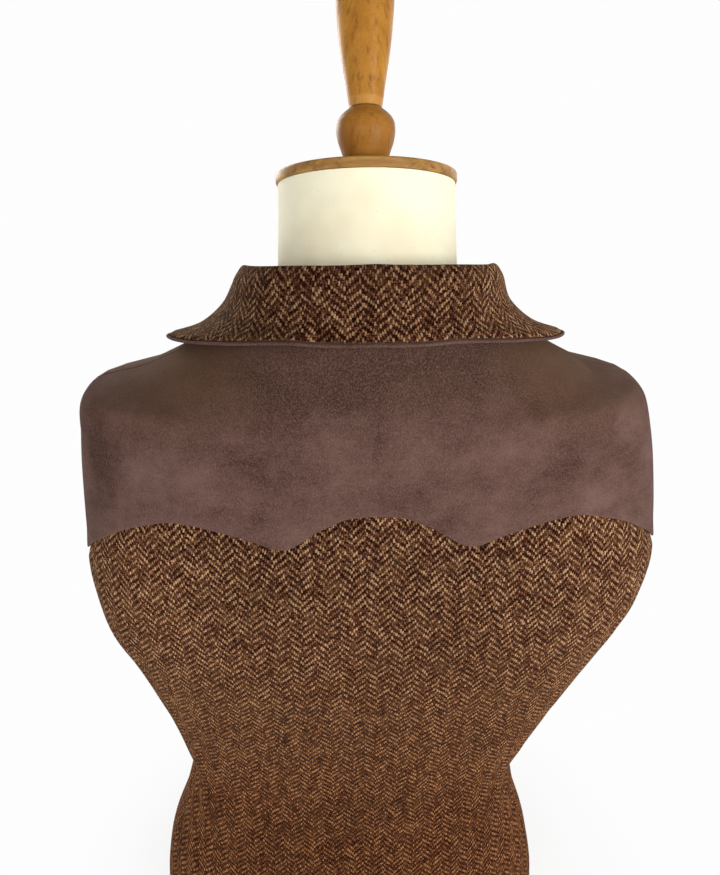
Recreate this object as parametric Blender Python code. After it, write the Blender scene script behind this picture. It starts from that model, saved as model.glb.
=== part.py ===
"""A western vest worn on a tabletop dress form. Metres, +Z up.

The vest's front faces -Y and its back +Y. The wearer's left is +X.
The origin is on the table, under the middle of the form's base board.
"""
import math

import bmesh
import bpy
import numpy as np
from mathutils import Matrix, Vector

# The upright axis of the neck lies this far behind the middle of the whole depth, and this far
# to the left of the middle of the whole width
AXIS_BACK = 0.0050
AXIS_LEFT = 0.0035

# Driving sizes of the vest, in metres
HEM_HEIGHT = 0.115
UNDERARM_HEIGHT = 0.470
SHOULDER_TIP_HEIGHT = 0.702
TWEED = 0.0024
SUEDE = 0.0022
COLLAR_LAYER = 0.0016
SEAM_GAP = 0.0003
FRONT_OVERLAP = 0.014
OVERLAP_GAP = 0.0006
OVERLAP_FLAT = 0.042
OVERLAP_FADE = 0.024
BUTTON_COUNT = 5
TOP_BUTTON_HEIGHT = 0.620
LOW_BUTTON_HEIGHT = 0.180
BUTTON_RADIUS = 0.0105
BUTTON_THICKNESS = 0.0032
BUTTON_SEAT = 0.0008

# A button's turned profile, as shares of its radius and of its thickness
BUTTON_PROFILE = ((0, 0), (0.8, 0), (1, 0.4), (1, 0.75), (0.86, 1), (0.62, 0.68), (0, 0.62))

# Driving sizes of the dress form, in metres
BOARD_THICKNESS = 0.020
NECK_ROOM = 0.007
NECK_ROOM_RISE = 0.020
NECK_ROOM_START = 0.7
NECK_RADIUS = 0.0634
NECK_TILT = math.radians(17)
NECK_ROOT = (AXIS_LEFT, AXIS_BACK + 0.004, 0.786)
NECK_TOP = (AXIS_LEFT, AXIS_BACK - 0.020, 0.8424)
NECK_RINGS = ((0.0, 0.0655), (0.35, 0.0640), (0.7, NECK_RADIUS), (1.0, NECK_RADIUS))
NECK_ROOT_LEAN = 0.4
CAP_RADIUS = 0.0648
CAP_THICKNESS = 0.0072
CAP_EDGE = 0.0015
CLEARANCE = 0.0003
BOARD_EDGE = 0.004

# The finial, turned in one piece: heights above its foot, and radii
FINIAL_PROFILE = (
    (0.0, 0.0185), (0.0095, 0.0185), (0.0108, 0.0168), (0.0170, 0.0176), (0.0237, 0.0194),
    (0.0305, 0.0205), (0.0350, 0.0201), (0.0385, 0.0184), (0.0420, 0.0150), (0.0448, 0.0121),
    (0.0475, 0.0121), (0.0746, 0.0163), (0.1036, 0.0198), (0.1196, 0.0208), (0.1286, 0.0202),
    (0.1356, 0.0168), (0.1396, 0.0097),
)
FINIAL_HEIGHT = 0.1408

# The inner face of the worn cloth, one row for each level. Sway moves a level sideways,
# because the vest sits a little askew, and ease is the room between the cloth and the form.
# The sway of the neck is AXIS_LEFT.
SECTION_COLUMNS = ("height", "half_width", "back", "front", "squareness", "sway", "ease")
SECTIONS = (
    (0.020, 0.1945, 0.100, 0.104, 2.30, 0.0195, 0.0250),
    (HEM_HEIGHT, 0.1985, 0.100, 0.110, 2.30, 0.0200, 0.0230),
    (0.190, 0.1879, 0.093, 0.106, 2.30, 0.0215, 0.0180),
    (0.250, 0.1685, 0.086, 0.101, 2.30, 0.0200, 0.0110),
    (0.283, 0.1604, 0.083, 0.099, 2.30, 0.0187, 0.0080),
    (0.310, 0.1545, 0.083, 0.099, 2.30, 0.0168, 0.0060),
    (0.350, 0.1650, 0.085, 0.101, 2.35, 0.0122, 0.0080),
    (0.385, 0.1790, 0.089, 0.103, 2.40, 0.0086, 0.0110),
    (0.410, 0.1896, 0.093, 0.106, 2.45, 0.0072, 0.0130),
    (0.440, 0.2003, 0.098, 0.108, 2.50, 0.0056, 0.0150),
    (UNDERARM_HEIGHT, 0.2090, 0.104, 0.1110, 2.60, 0.0045, 0.0160),
    (0.500, 0.2203, 0.107, 0.1120, 2.66, 0.0042, 0.0170),
    (0.530, 0.2285, 0.109, 0.1118, 2.71, 0.0014, 0.0180),
    (0.560, 0.2319, 0.109, 0.1090, 2.75, 0.0000, 0.0165),
    (0.600, 0.2283, 0.106, 0.1020, 2.75, 0.0008, 0.0120),
    (0.640, 0.2236, 0.102, 0.0920, 2.65, 0.0022, 0.0080),
    (0.670, 0.2195, 0.098, 0.083, 2.50, 0.0036, 0.0050),
    (0.690, 0.2160, 0.095, 0.0770, 2.40, 0.0056, 0.0070),
    (SHOULDER_TIP_HEIGHT, 0.2070, 0.094, 0.0740, 2.35, 0.0062, 0.0080),
    (0.7065, 0.1910, 0.093, 0.0730, 2.32, 0.0062, 0.0068),
    (0.711, 0.1735, 0.093, 0.072, 2.30, 0.0058, 0.0046),
    (0.718, 0.1575, 0.092, 0.070, 2.30, 0.0050, 0.0022),
    (0.729, 0.1365, 0.091, 0.069, 2.30, 0.0040, 0.0015),
    (0.742, 0.1180, 0.089, 0.068, 2.30, AXIS_LEFT, 0.0018),
    (0.757, 0.1000, 0.086, 0.067, 2.30, AXIS_LEFT, 0.0040),
    (0.775, 0.0850, 0.079, 0.067, 2.25, AXIS_LEFT, 0.0110),
    (0.800, 0.0780, 0.074, 0.070, 2.20, AXIS_LEFT, 0.0140),
)

# The side seam and the shoulder seam, as angles round from the centre back
SEAM_COLUMNS = ("height", "angle")
SIDE_SEAM = ((HEM_HEIGHT, 83.0), (0.300, 82.0), (UNDERARM_HEIGHT, 85.0))
SHOULDER_SEAM = ((SHOULDER_TIP_HEIGHT, 92.0), (0.719, 90.5), (0.742, 87.0), (0.790, 81.0))

# The armhole: where the back and the front end between those two seams
ARMHOLE_COLUMNS = ("height", "back_edge", "front_edge")
ARMHOLE = (
    (UNDERARM_HEIGHT, 85.0, 85.0),
    (0.473, 84.0, 89.0),
    (0.480, 82.5, 94.0),
    (0.495, 81.0, 100.0),
    (0.520, 79.5, 106.0),
    (0.560, 79.0, 111.0),
    (0.600, 79.0, 112.0),
    (0.640, 81.0, 108.0),
    (0.675, 86.0, 100.0),
    (SHOULDER_TIP_HEIGHT, 92.0, 92.0),
)

# A yoke's lower seam: the back's runs from the centre back (0) to the armhole (1)
YOKE_SEAM_COLUMNS = ("across", "height")
BACK_SEAM = (
    (0.00, 0.6425), (0.12, 0.6410), (0.26, 0.6320), (0.42, 0.6170),
    (0.54, 0.6250), (0.71, 0.6330), (0.82, 0.6230), (0.92, 0.6030), (1.00, 0.5820),
)

# The front yokes' lower seam, from the front edge (0) to the armhole (1)
FRONT_SEAM = (
    (0.00, 0.618), (0.20, 0.610), (0.45, 0.588), (0.52, 0.585),
    (0.60, 0.589), (0.80, 0.606), (1.00, 0.610),
)

# The collar: where its seam, fold, knee, hollow and outer edge lie, from centre back (0) to the front
COLLAR_COLUMNS = ("angle", "seam_height", "fold_out", "fold_height",
                  "knee_height", "knee_lift", "hollow_lift", "edge_height", "edge_lift")
COLLAR = (
    (0.0, 0.7800, 0.0055, 0.8080, 0.7780, 0.0110, 0.0105, 0.7595, 0.0115),
    (30.0, 0.7795, 0.0055, 0.8055, 0.7765, 0.0105, 0.0095, 0.7580, 0.0115),
    (60.0, 0.7780, 0.0040, 0.7985, 0.7700, 0.0085, 0.0065, 0.7460, 0.0105),
    (90.0, 0.7740, 0.0030, 0.7890, 0.7565, 0.0075, 0.0070, 0.7260, 0.0135),
    (120.0, 0.7500, 0.0060, 0.7710, 0.7360, 0.0100, 0.0080, 0.7100, 0.0095),
    (150.0, 0.7200, 0.0070, 0.7450, 0.7090, 0.0110, 0.0090, 0.6720, 0.0095),
    (176.0, 0.7020, 0.0070, 0.7260, 0.6900, 0.0115, 0.0100, 0.6420, 0.0105),
)
FOLD_RADIUS = 0.0042
COLLAR_LIP = 0.0030
COLLAR_SEAM_GAP = 0.0011
COLLAR_SPANS = (2, 1, 4, 3, 2, 2, 2)
LIP_HALF = 0.6 * COLLAR_LAYER
STAND_SHARE = 0.30
FOLD_DROP = 1.1 * FOLD_RADIUS

# Soft folds in the worn cloth: they stand out by lift, and slant by so many degrees a metre of rise
FOLD_COLUMNS = ("angle", "height", "slant", "lift", "width", "length")
FOLDS = (
    (74.0, 0.330, 137.0, 0.0050, 9.0, 0.070),
    (56.0, 0.300, 75.0, 0.0028, 8.0, 0.080),
    (28.0, 0.330, 25.0, 0.0022, 8.0, 0.090),
    (70.0, 0.520, -100.0, 0.0030, 8.0, 0.060),
    (112.0, 0.330, -75.0, 0.0035, 9.0, 0.080),
    (140.0, 0.290, -37.0, 0.0025, 8.0, 0.090),
)

# How finely the walls are divided
BACK_COLUMNS = 32
FRONT_COLUMNS = 14
SIDE_LEVELS = (HEM_HEIGHT, 0.160, 0.205, 0.250, 0.290, 0.330, 0.370, 0.410, 0.442, UNDERARM_HEIGHT)
ARMHOLE_LEVELS = (0.473, 0.480, 0.495, 0.520, 0.556)
BACK_YOKE_LEVELS = (0.620, 0.648, 0.672, 0.688)
FRONT_YOKE_LEVELS = (0.640, 0.668, 0.685)
SHOULDER_STEPS = 8
TORSO_LEVELS = (0.060, 0.115, 0.165, 0.210, 0.250, 0.290, 0.330, 0.370, 0.410, 0.450,
                0.490, 0.530, 0.565, 0.600, 0.630, 0.655, 0.672, 0.685, 0.693, 0.700, 0.706,
                0.713, 0.720, 0.729, 0.739, 0.750, 0.762)
TORSO_SEGMENTS = 40
COLLAR_STATIONS = 34
COLLAR_FINER = 6
BUTTON_SEGMENTS = 20
CAP_SEGMENTS = 40
FINIAL_SEGMENTS = 24
SHARP_CLOTH = math.radians(40)
SHARP_TURNED = math.radians(35)

# Small steps for slopes, and how often a place that depends on its own height is worked out again
SLOPE_TURN = 1e-3
SLOPE_RISE = 1e-4
SEAM_ROUNDS = 20
GRID_ROUNDS = 40


def empty_the_scene():
    for thing in list(bpy.data.objects):
        bpy.data.objects.remove(thing)


def smooth_rule(xs, ys):
    """A curve through the points that never overshoots between them."""
    xs = np.asarray(xs, float)
    ys = np.asarray(ys, float)
    steps = np.diff(xs)
    slopes = np.diff(ys) / steps
    tangents = np.zeros(len(xs))
    tangents[0] = slopes[0]
    tangents[-1] = slopes[-1]
    for i in range(1, len(xs) - 1):
        if slopes[i - 1] * slopes[i] > 0:
            before = 2 * steps[i] + steps[i - 1]
            after = steps[i] + 2 * steps[i - 1]
            tangents[i] = (before + after) / (before / slopes[i - 1] + after / slopes[i])

    def rule(x):
        x = np.clip(np.asarray(x, float), xs[0], xs[-1])
        i = np.clip(np.searchsorted(xs, x) - 1, 0, len(xs) - 2)
        h = xs[i + 1] - xs[i]
        t = (x - xs[i]) / h
        return (ys[i] * (1 + 2 * t) * (1 - t) ** 2 + h * tangents[i] * t * (1 - t) ** 2
                + ys[i + 1] * t * t * (3 - 2 * t) - h * tangents[i + 1] * t * t * (1 - t))

    return rule


def rules_of(columns, rows):
    """One smooth rule for each named column, over the table's first column."""
    table = np.array(rows, float)
    return {name: smooth_rule(table[:, 0], table[:, k]) for k, name in enumerate(columns) if k}


SECTION = rules_of(SECTION_COLUMNS, SECTIONS)
SIDE_SEAM_RULE = rules_of(SEAM_COLUMNS, SIDE_SEAM)["angle"]
SHOULDER_SEAM_RULE = rules_of(SEAM_COLUMNS, SHOULDER_SEAM)["angle"]
ARMHOLE_RULE = rules_of(ARMHOLE_COLUMNS, ARMHOLE)
BACK_SEAM_RULE = rules_of(YOKE_SEAM_COLUMNS, BACK_SEAM)["height"]
FRONT_SEAM_RULE = rules_of(YOKE_SEAM_COLUMNS, FRONT_SEAM)["height"]
COLLAR_RULE = rules_of(COLLAR_COLUMNS, COLLAR)


def worn_radius(angle, height, inset=0.0):
    """How far the cloth's inner face lies from the upright axis, at an angle from centre back."""
    side = np.abs(np.sin(angle)) / (SECTION["half_width"](height) - inset)
    depth = np.where(np.cos(angle) > 0, SECTION["back"](height), SECTION["front"](height)) - inset
    along = np.abs(np.cos(angle)) / depth
    power = SECTION["squareness"](height)
    return (side ** power + along ** power) ** (-1 / power)


def on_ring(angle, radius, height):
    angle, radius, height = np.broadcast_arrays(angle, radius, height)
    sideways = radius * np.sin(angle) + SECTION["sway"](height)
    return np.stack([sideways, radius * np.cos(angle) + AXIS_BACK, height], axis=-1)


def worn_point(angle, height):
    return on_ring(angle, worn_radius(angle, height), height)


def worn_normal(angle, height):
    """The outward direction of the worn surface."""
    turn, rise = SLOPE_TURN, SLOPE_RISE
    round_it = worn_point(angle + turn, height) - worn_point(angle - turn, height)
    up_it = worn_point(angle, height + rise) - worn_point(angle, height - rise)
    normal = np.cross(up_it, round_it)
    return normal / np.linalg.norm(normal, axis=-1, keepdims=True)


def fold_lift(angle, height):
    """How far the soft folds stand out from the plain worn surface."""
    lift = np.zeros(np.broadcast(angle, height).shape)
    for row in FOLDS:
        fold = dict(zip(FOLD_COLUMNS, row))
        rise = height - fold["height"]
        across = np.degrees(np.abs(angle)) - fold["angle"] - fold["slant"] * rise
        lift = lift + fold["lift"] * np.exp(-(across / fold["width"]) ** 2 - (rise / fold["length"]) ** 2)
    return lift


def lifted(angle, height, lift):
    """A point of the cloth, moved out from the worn surface and over its folds."""
    out = np.asarray(lift + fold_lift(angle, height))[..., None]
    return worn_point(angle, height) + worn_normal(angle, height) * out


def seam_turn(angle, height):
    """Half a seam gap, as an angle at this place."""
    return 0.5 * SEAM_GAP / worn_radius(angle, height)


def neck_seam_height(angle):
    return COLLAR_RULE["seam_height"](np.degrees(np.abs(angle)))


def new_material(name, colour, roughness):
    material = bpy.data.materials.new(name)
    material.use_nodes = True
    shader = material.node_tree.nodes["Principled BSDF"]
    shader.inputs["Base Color"].default_value = (*colour, 1)
    shader.inputs["Roughness"].default_value = roughness
    shader.inputs["Metallic"].default_value = 0.0
    return material


def new_object(name, mesh, material):
    mesh.materials.append(material)
    thing = bpy.data.objects.new(name, mesh)
    bpy.context.scene.collection.objects.link(thing)
    return thing


def wall(name, inside, outside, material):
    """A closed wall between two grids of points, joined along its four edges."""
    rows, columns = inside.shape[:2]
    corners = np.concatenate([inside.reshape(-1, 3), outside.reshape(-1, 3)])
    behind = rows * columns

    def at(row, column, side):
        return side * behind + row * columns + column

    faces = []
    for r in range(rows - 1):
        for c in range(columns - 1):
            faces.append((at(r, c, 1), at(r, c + 1, 1), at(r + 1, c + 1, 1), at(r + 1, c, 1)))
            faces.append((at(r, c, 0), at(r + 1, c, 0), at(r + 1, c + 1, 0), at(r, c + 1, 0)))
    rim = ([(0, c) for c in range(columns)] + [(r, columns - 1) for r in range(1, rows)]
           + [(rows - 1, c) for c in range(columns - 2, -1, -1)]
           + [(r, 0) for r in range(rows - 2, 0, -1)])
    for here, there in zip(rim, rim[1:] + rim[:1]):
        faces.append((at(*here, 0), at(*there, 0), at(*there, 1), at(*here, 1)))
    mesh = bpy.data.meshes.new(name)
    mesh.from_pydata([tuple(p) for p in corners], [], faces)
    mesh.update()
    made = bmesh.new()
    made.from_mesh(mesh)
    bmesh.ops.recalc_face_normals(made, faces=made.faces)
    made.to_mesh(mesh)
    made.free()
    mesh.shade_smooth()
    mesh.set_sharp_from_angle(angle=SHARP_CLOTH)
    return new_object(name, mesh, material)


def panel_wall(name, angle, height, thickness, base_lift, material):
    """A cloth wall on the worn surface, from its grid of angles and heights."""
    inside = lifted(angle, height, base_lift)
    outside = lifted(angle, height, base_lift + thickness)
    return wall(name, inside, outside, material)


def edge_angle(height, which):
    """Where the back or a front ends at a height, as an angle round from the centre back."""
    degrees = np.where(height <= UNDERARM_HEIGHT, SIDE_SEAM_RULE(height), ARMHOLE_RULE[which](height))
    degrees = np.where(height >= SHOULDER_TIP_HEIGHT, SHOULDER_SEAM_RULE(height), degrees)
    return np.radians(degrees)


def shoulder_levels():
    """Heights up the shoulder seam, from its tip to the neck seam."""
    top = SHOULDER_TIP_HEIGHT
    for _ in range(SEAM_ROUNDS):
        top = float(neck_seam_height(np.radians(SHOULDER_SEAM_RULE(top))))
    return tuple(np.linspace(SHOULDER_TIP_HEIGHT, top, SHOULDER_STEPS + 1))


def panel_grid(levels, across, low, high, angle_at):
    """Angles and heights over a panel. Its rows follow the levels at the panel's outer edge."""
    levels = np.array(levels)
    share = ((levels - levels[0]) / (levels[-1] - levels[0]))[:, None]
    across = np.asarray(across)[None, :]
    height = low(across) + share * (levels[-1] - low(across))
    for _ in range(GRID_ROUNDS):
        angle = angle_at(across, height)
        height = low(across) + share * (high(across, angle) - low(across))
    return angle_at(across, height), height


def hem(across):
    return np.full(np.shape(across), HEM_HEIGHT)


def neck(_across, angle):
    """The upper edge of the yokes. Past the closed front's middle it stays level."""
    return neck_seam_height(np.minimum(np.abs(angle), math.pi))


def build_back(tweed, suede):
    """The tweed back panel, and the suede yoke sewn to its scalloped upper edge."""
    half_gap = SEAM_GAP / 2

    def angle_at(across, height):
        edge = edge_angle(height, "back_edge")
        return across * (edge - seam_turn(edge, height))

    def under_seam(across, _angle):
        return BACK_SEAM_RULE(np.abs(across)) - half_gap

    def over_seam(across):
        return BACK_SEAM_RULE(np.abs(across)) + half_gap

    across = np.linspace(1, -1, BACK_COLUMNS + 1)
    levels = SIDE_LEVELS + ARMHOLE_LEVELS + (BACK_SEAM[-1][1] - half_gap,)
    angle, height = panel_grid(levels, across, hem, under_seam, angle_at)
    panel_wall("back_panel", angle, height, TWEED, 0.0, tweed)
    levels = (BACK_SEAM[-1][1] + half_gap,) + BACK_YOKE_LEVELS + shoulder_levels()
    angle, height = panel_grid(levels, across, over_seam, neck, angle_at)
    panel_wall("back_yoke", angle, height, SUEDE, 0.0, suede)


def overlap_lift(angle, height):
    """How far the upper front stands out, so that it lies over the lower one."""
    from_edge = (math.pi - angle) * worn_radius(angle, height) + FRONT_OVERLAP
    fade = np.clip(1 - (from_edge - OVERLAP_FLAT) / OVERLAP_FADE, 0, 1)
    return (TWEED + OVERLAP_GAP) * fade * fade * (3 - 2 * fade)


def build_front(side, word, tweed, suede):
    """One front: tweed below, with a pointed suede yoke over the shoulder."""
    half_gap = SEAM_GAP / 2

    def angle_at(across, height):
        edge = edge_angle(height, "front_edge")
        edge = edge + seam_turn(edge, height)
        centre = math.pi + FRONT_OVERLAP / worn_radius(math.pi, height)
        return centre + across * (edge - centre)

    def under_seam(across, _angle):
        return FRONT_SEAM_RULE(across) - half_gap

    def over_seam(across):
        return FRONT_SEAM_RULE(across) + half_gap

    def front_wall(name, levels, low, high, thickness, cloth):
        across = np.linspace(1, 0, FRONT_COLUMNS + 1)
        angle, height = panel_grid(levels, across, low, high, angle_at)
        lift = overlap_lift(angle, height) if side > 0 else 0.0
        panel_wall(name, side * angle, height, thickness, lift, cloth)

    levels = SIDE_LEVELS + ARMHOLE_LEVELS + (FRONT_SEAM[-1][1] - half_gap,)
    front_wall("front_panel_" + word, levels, hem, under_seam, TWEED, tweed)
    levels = (FRONT_SEAM[-1][1] + half_gap,) + FRONT_YOKE_LEVELS + shoulder_levels()
    front_wall("front_yoke_" + word, levels, over_seam, neck, SUEDE, suede)


def smooth_path(points, count_between):
    """A chordal Catmull-Rom curve through the points, with so many steps in each span."""
    points = np.asarray(points, float)
    padded = np.concatenate([[2 * points[0] - points[1]], points, [2 * points[-1] - points[-2]]])
    found = []
    for i, steps in enumerate(count_between):
        p0, p1, p2, p3 = padded[i:i + 4]
        d1, d2, d3 = (np.linalg.norm(b - a) for a, b in ((p0, p1), (p1, p2), (p2, p3)))
        start = (p1 - p0) / d1 - (p2 - p0) / (d1 + d2) + (p2 - p1) / d2
        end = (p2 - p1) / d2 - (p3 - p1) / (d2 + d3) + (p3 - p2) / d3
        for t in np.arange(steps) / steps:
            found.append(p1 * (1 + 2 * t) * (1 - t) ** 2 + start * d2 * t * (1 - t) ** 2
                         + p2 * t * t * (3 - 2 * t) - end * d2 * t * t * (1 - t))
    found.append(points[-1])
    return np.array(found)


def collar_line(angle):
    """The collar's middle line at one station: up its stand, over its fold, down its fall."""
    degrees = abs(math.degrees(angle))
    at = {name: float(rule(degrees)) for name, rule in COLLAR_RULE.items()}
    seam_height = at["seam_height"]
    fold_radius = float(worn_radius(angle, seam_height)) + 0.5 * SUEDE + at["fold_out"]
    upward = worn_point(angle, seam_height + SLOPE_RISE) - worn_point(angle, seam_height - SLOPE_RISE)
    upward /= np.linalg.norm(upward)
    seam = lifted(angle, seam_height, 0.5 * SUEDE) + upward * COLLAR_SEAM_GAP
    rise = at["fold_height"] - seam_height
    points = [
        seam,
        seam + upward * STAND_SHARE * rise,
        on_ring(angle, fold_radius - FOLD_RADIUS, at["fold_height"] - FOLD_DROP),
        on_ring(angle, fold_radius, at["fold_height"]),
        on_ring(angle, fold_radius + FOLD_RADIUS, at["fold_height"] - FOLD_DROP),
        lifted(angle, at["knee_height"], at["knee_lift"]),
        lifted(angle, 0.5 * (at["knee_height"] + at["edge_height"]), at["hollow_lift"]),
        lifted(angle, at["edge_height"], at["edge_lift"]),
    ]
    return smooth_path(points, COLLAR_SPANS)


def collar_grid():
    """The collar's middle surface and its outward directions, station by station."""
    last = math.radians(COLLAR[-1][0])
    angles = np.linspace(last, -last, COLLAR_FINER * COLLAR_STATIONS + 1)
    surface = np.array([collar_line(a) for a in angles])
    along = np.gradient(surface, axis=0)
    down = np.gradient(surface, axis=1)
    normal = np.cross(down, along)
    normal /= np.linalg.norm(normal, axis=-1, keepdims=True)
    return surface[::COLLAR_FINER], normal[::COLLAR_FINER]


def build_collar(tweed, suede):
    """The tweed top collar, folded over the suede under collar, whose edge shows below it."""
    middle, out = collar_grid()
    half_gap = SEAM_GAP / 2
    wall("collar_top", middle + out * half_gap, middle + out * (half_gap + COLLAR_LAYER), tweed)
    down = middle[:, -1] - middle[:, -2]
    down /= np.linalg.norm(down, axis=-1, keepdims=True)
    lip = middle[:, -1] + down * COLLAR_LIP
    lip_out = out[:, -1] * LIP_HALF
    near = np.concatenate([middle - out * half_gap, (lip + lip_out)[:, None]], 1)
    far = np.concatenate([middle - out * (half_gap + COLLAR_LAYER), (lip - lip_out)[:, None]], 1)
    wall("collar_under", far, near, suede)


def lathe(name, profile, segments, material, place):
    """A turned piece: its profile runs from the axis at the bottom to the axis at the top."""
    made = bmesh.new()
    rings = []
    for radius, height in profile:
        if radius == 0:
            rings.append([made.verts.new((0, 0, height))])
            continue
        turns = [2 * math.pi * k / segments for k in range(segments)]
        rings.append([made.verts.new((radius * math.cos(a), radius * math.sin(a), height)) for a in turns])
    for low, high in zip(rings, rings[1:]):
        for k in range(segments):
            after = (k + 1) % segments
            if len(low) == 1:
                made.faces.new((low[0], high[after], high[k]))
            elif len(high) == 1:
                made.faces.new((low[k], low[after], high[0]))
            else:
                made.faces.new((low[k], low[after], high[after], high[k]))
    bmesh.ops.recalc_face_normals(made, faces=made.faces)
    mesh = bpy.data.meshes.new(name)
    made.to_mesh(mesh)
    made.free()
    mesh.shade_smooth()
    mesh.set_sharp_from_angle(angle=SHARP_TURNED)
    thing = new_object(name, mesh, material)
    thing.matrix_world = place
    return thing


def front_surface_place(height, lift):
    """A frame on the closed front, whose Z points out of the cloth."""
    spot = Vector(lifted(math.pi, height, lift))
    out = Vector(worn_normal(math.pi, height))
    return Matrix.Translation(spot) @ out.to_track_quat("Z", "Y").to_matrix().to_4x4()


def build_buttons(horn):
    """Turned buttons down the closed front, each with a sunk middle."""
    profile = [(out * BUTTON_RADIUS, up * BUTTON_THICKNESS) for out, up in BUTTON_PROFILE]
    lift = 2 * TWEED + OVERLAP_GAP + BUTTON_SEAT
    heights = np.linspace(TOP_BUTTON_HEIGHT, LOW_BUTTON_HEIGHT, BUTTON_COUNT)
    for k, height in enumerate(heights):
        lathe("button_%d" % (k + 1), profile, BUTTON_SEGMENTS, horn, front_surface_place(height, lift))


def ring_mesh(name, rings, material):
    """A closed solid through rings of points, capped flat at both ends."""
    made = bmesh.new()
    loops = [[made.verts.new(tuple(p)) for p in ring] for ring in rings]
    count = len(loops[0])
    for low, high in zip(loops, loops[1:]):
        for k in range(count):
            after = (k + 1) % count
            made.faces.new((low[k], low[after], high[after], high[k]))
    made.faces.new(list(reversed(loops[0])))
    made.faces.new(loops[-1])
    bmesh.ops.recalc_face_normals(made, faces=made.faces)
    mesh = bpy.data.meshes.new(name)
    made.to_mesh(mesh)
    made.free()
    mesh.shade_smooth()
    mesh.set_sharp_from_angle(angle=SHARP_CLOTH)
    return new_object(name, mesh, material)


def ring_angles():
    return np.linspace(-math.pi, math.pi, TORSO_SEGMENTS, endpoint=False)


def level_ring(height, inset):
    """A level ring, inset from the cloth's inner face at that height."""
    return on_ring(ring_angles(), worn_radius(ring_angles(), height, inset), height)


def torso_ring(height):
    """A ring of the form, under the cloth by its ease and clear of the collar's stand."""
    angles = ring_angles()
    past_seam = (height - neck_seam_height(angles)) / NECK_ROOM_RISE + NECK_ROOM_START
    inset = SECTION["ease"](height) + NECK_ROOM * np.clip(past_seam, 0, 1)
    return worn_point(angles, height) - worn_normal(angles, height) * inset[:, None]


def neck_place():
    """The frame of the neck's top: its Z leans forward with the neck."""
    lean = Matrix.Rotation(NECK_TILT, 4, "X")
    return Matrix.Translation(Vector(NECK_TOP)) @ lean


def neck_ring(share, radius):
    """A ring of the neck, from level at its root (0) to tilted at its top (1)."""
    centre = Vector(NECK_ROOT).lerp(Vector(NECK_TOP), share)
    lean = Matrix.Rotation(NECK_TILT * (NECK_ROOT_LEAN + (1 - NECK_ROOT_LEAN) * share), 3, "X")
    return [centre + lean @ Vector((radius * math.sin(a), radius * math.cos(a), 0)) for a in ring_angles()]


def build_form(canvas, timber):
    """The smooth limbless form: board, torso with its neck, wooden cap and turned finial."""
    board_top = BOARD_THICKNESS
    low = float(SECTION["ease"](board_top))
    board = [level_ring(0.0, low + BOARD_EDGE), level_ring(BOARD_EDGE, low),
             level_ring(board_top - BOARD_EDGE, low), level_ring(board_top, low + BOARD_EDGE)]
    ring_mesh("form_board", board, timber)
    rings = [level_ring(board_top + CLEARANCE, low)]
    rings += [torso_ring(z) for z in TORSO_LEVELS]
    rings += [neck_ring(share, radius) for share, radius in NECK_RINGS]
    ring_mesh("form_torso", rings, canvas)

    place = neck_place()
    cap = [(0, CLEARANCE), (CAP_RADIUS - CAP_EDGE, CLEARANCE), (CAP_RADIUS, CLEARANCE + CAP_EDGE),
           (CAP_RADIUS, CAP_THICKNESS - CAP_EDGE), (CAP_RADIUS - 2 * CAP_EDGE, CAP_THICKNESS),
           (0, CAP_THICKNESS)]
    lathe("form_cap", cap, CAP_SEGMENTS, timber, place)
    finial = [(0, 0)] + [(radius, height) for height, radius in FINIAL_PROFILE] + [(0, FINIAL_HEIGHT)]
    foot = Matrix.Translation((0, 0, CAP_THICKNESS + CLEARANCE))
    lathe("form_finial", finial, FINIAL_SEGMENTS, timber, place @ foot)


def build():
    empty_the_scene()
    tweed = new_material("herringbone tweed", (0.13, 0.062, 0.033), 0.95)
    suede = new_material("brown suede", (0.155, 0.085, 0.068), 0.9)
    horn = new_material("dark horn", (0.045, 0.025, 0.015), 0.35)
    canvas = new_material("cream canvas", (0.93, 0.88, 0.68), 0.85)
    timber = new_material("stained beech", (0.42, 0.19, 0.045), 0.45)
    build_back(tweed, suede)
    build_front(1, "left", tweed, suede)
    build_front(-1, "right", tweed, suede)
    build_collar(tweed, suede)
    build_buttons(horn)
    build_form(canvas, timber)


build()
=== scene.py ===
"""The looks of a western vest on its dress form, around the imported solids. Metres, +Z up.

The vest's front faces -Y and its back +Y. The wearer's left is +X.
"""
import math

import bmesh
import bpy
import numpy as np
from mathutils import Matrix, Vector


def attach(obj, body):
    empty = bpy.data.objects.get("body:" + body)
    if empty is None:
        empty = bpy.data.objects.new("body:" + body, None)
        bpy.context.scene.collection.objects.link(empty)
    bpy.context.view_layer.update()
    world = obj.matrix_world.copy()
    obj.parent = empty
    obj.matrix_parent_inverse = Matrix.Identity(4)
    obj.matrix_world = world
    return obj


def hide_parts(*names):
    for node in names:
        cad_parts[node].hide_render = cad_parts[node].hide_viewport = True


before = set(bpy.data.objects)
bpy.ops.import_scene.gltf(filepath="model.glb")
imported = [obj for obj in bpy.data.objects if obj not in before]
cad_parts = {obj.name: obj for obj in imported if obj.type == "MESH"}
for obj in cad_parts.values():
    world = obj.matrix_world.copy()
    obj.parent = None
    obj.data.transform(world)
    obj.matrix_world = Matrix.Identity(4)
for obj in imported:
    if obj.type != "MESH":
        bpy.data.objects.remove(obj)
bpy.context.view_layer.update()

# The form's torso and neck: a hard shell under cream canvas, drawn tight and sewn.
# It follows the worn cloth's sections, less the room that the cloth leaves, and carries the vest.
# A program fitted the widths and sways from 0.190 to 0.690 to the outline. Some were then moved.
AXIS_BACK = 0.0050
AXIS_LEFT = 0.0035
SECTION_COLUMNS = ("height", "half_width", "back", "front", "squareness", "sway", "ease")
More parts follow.
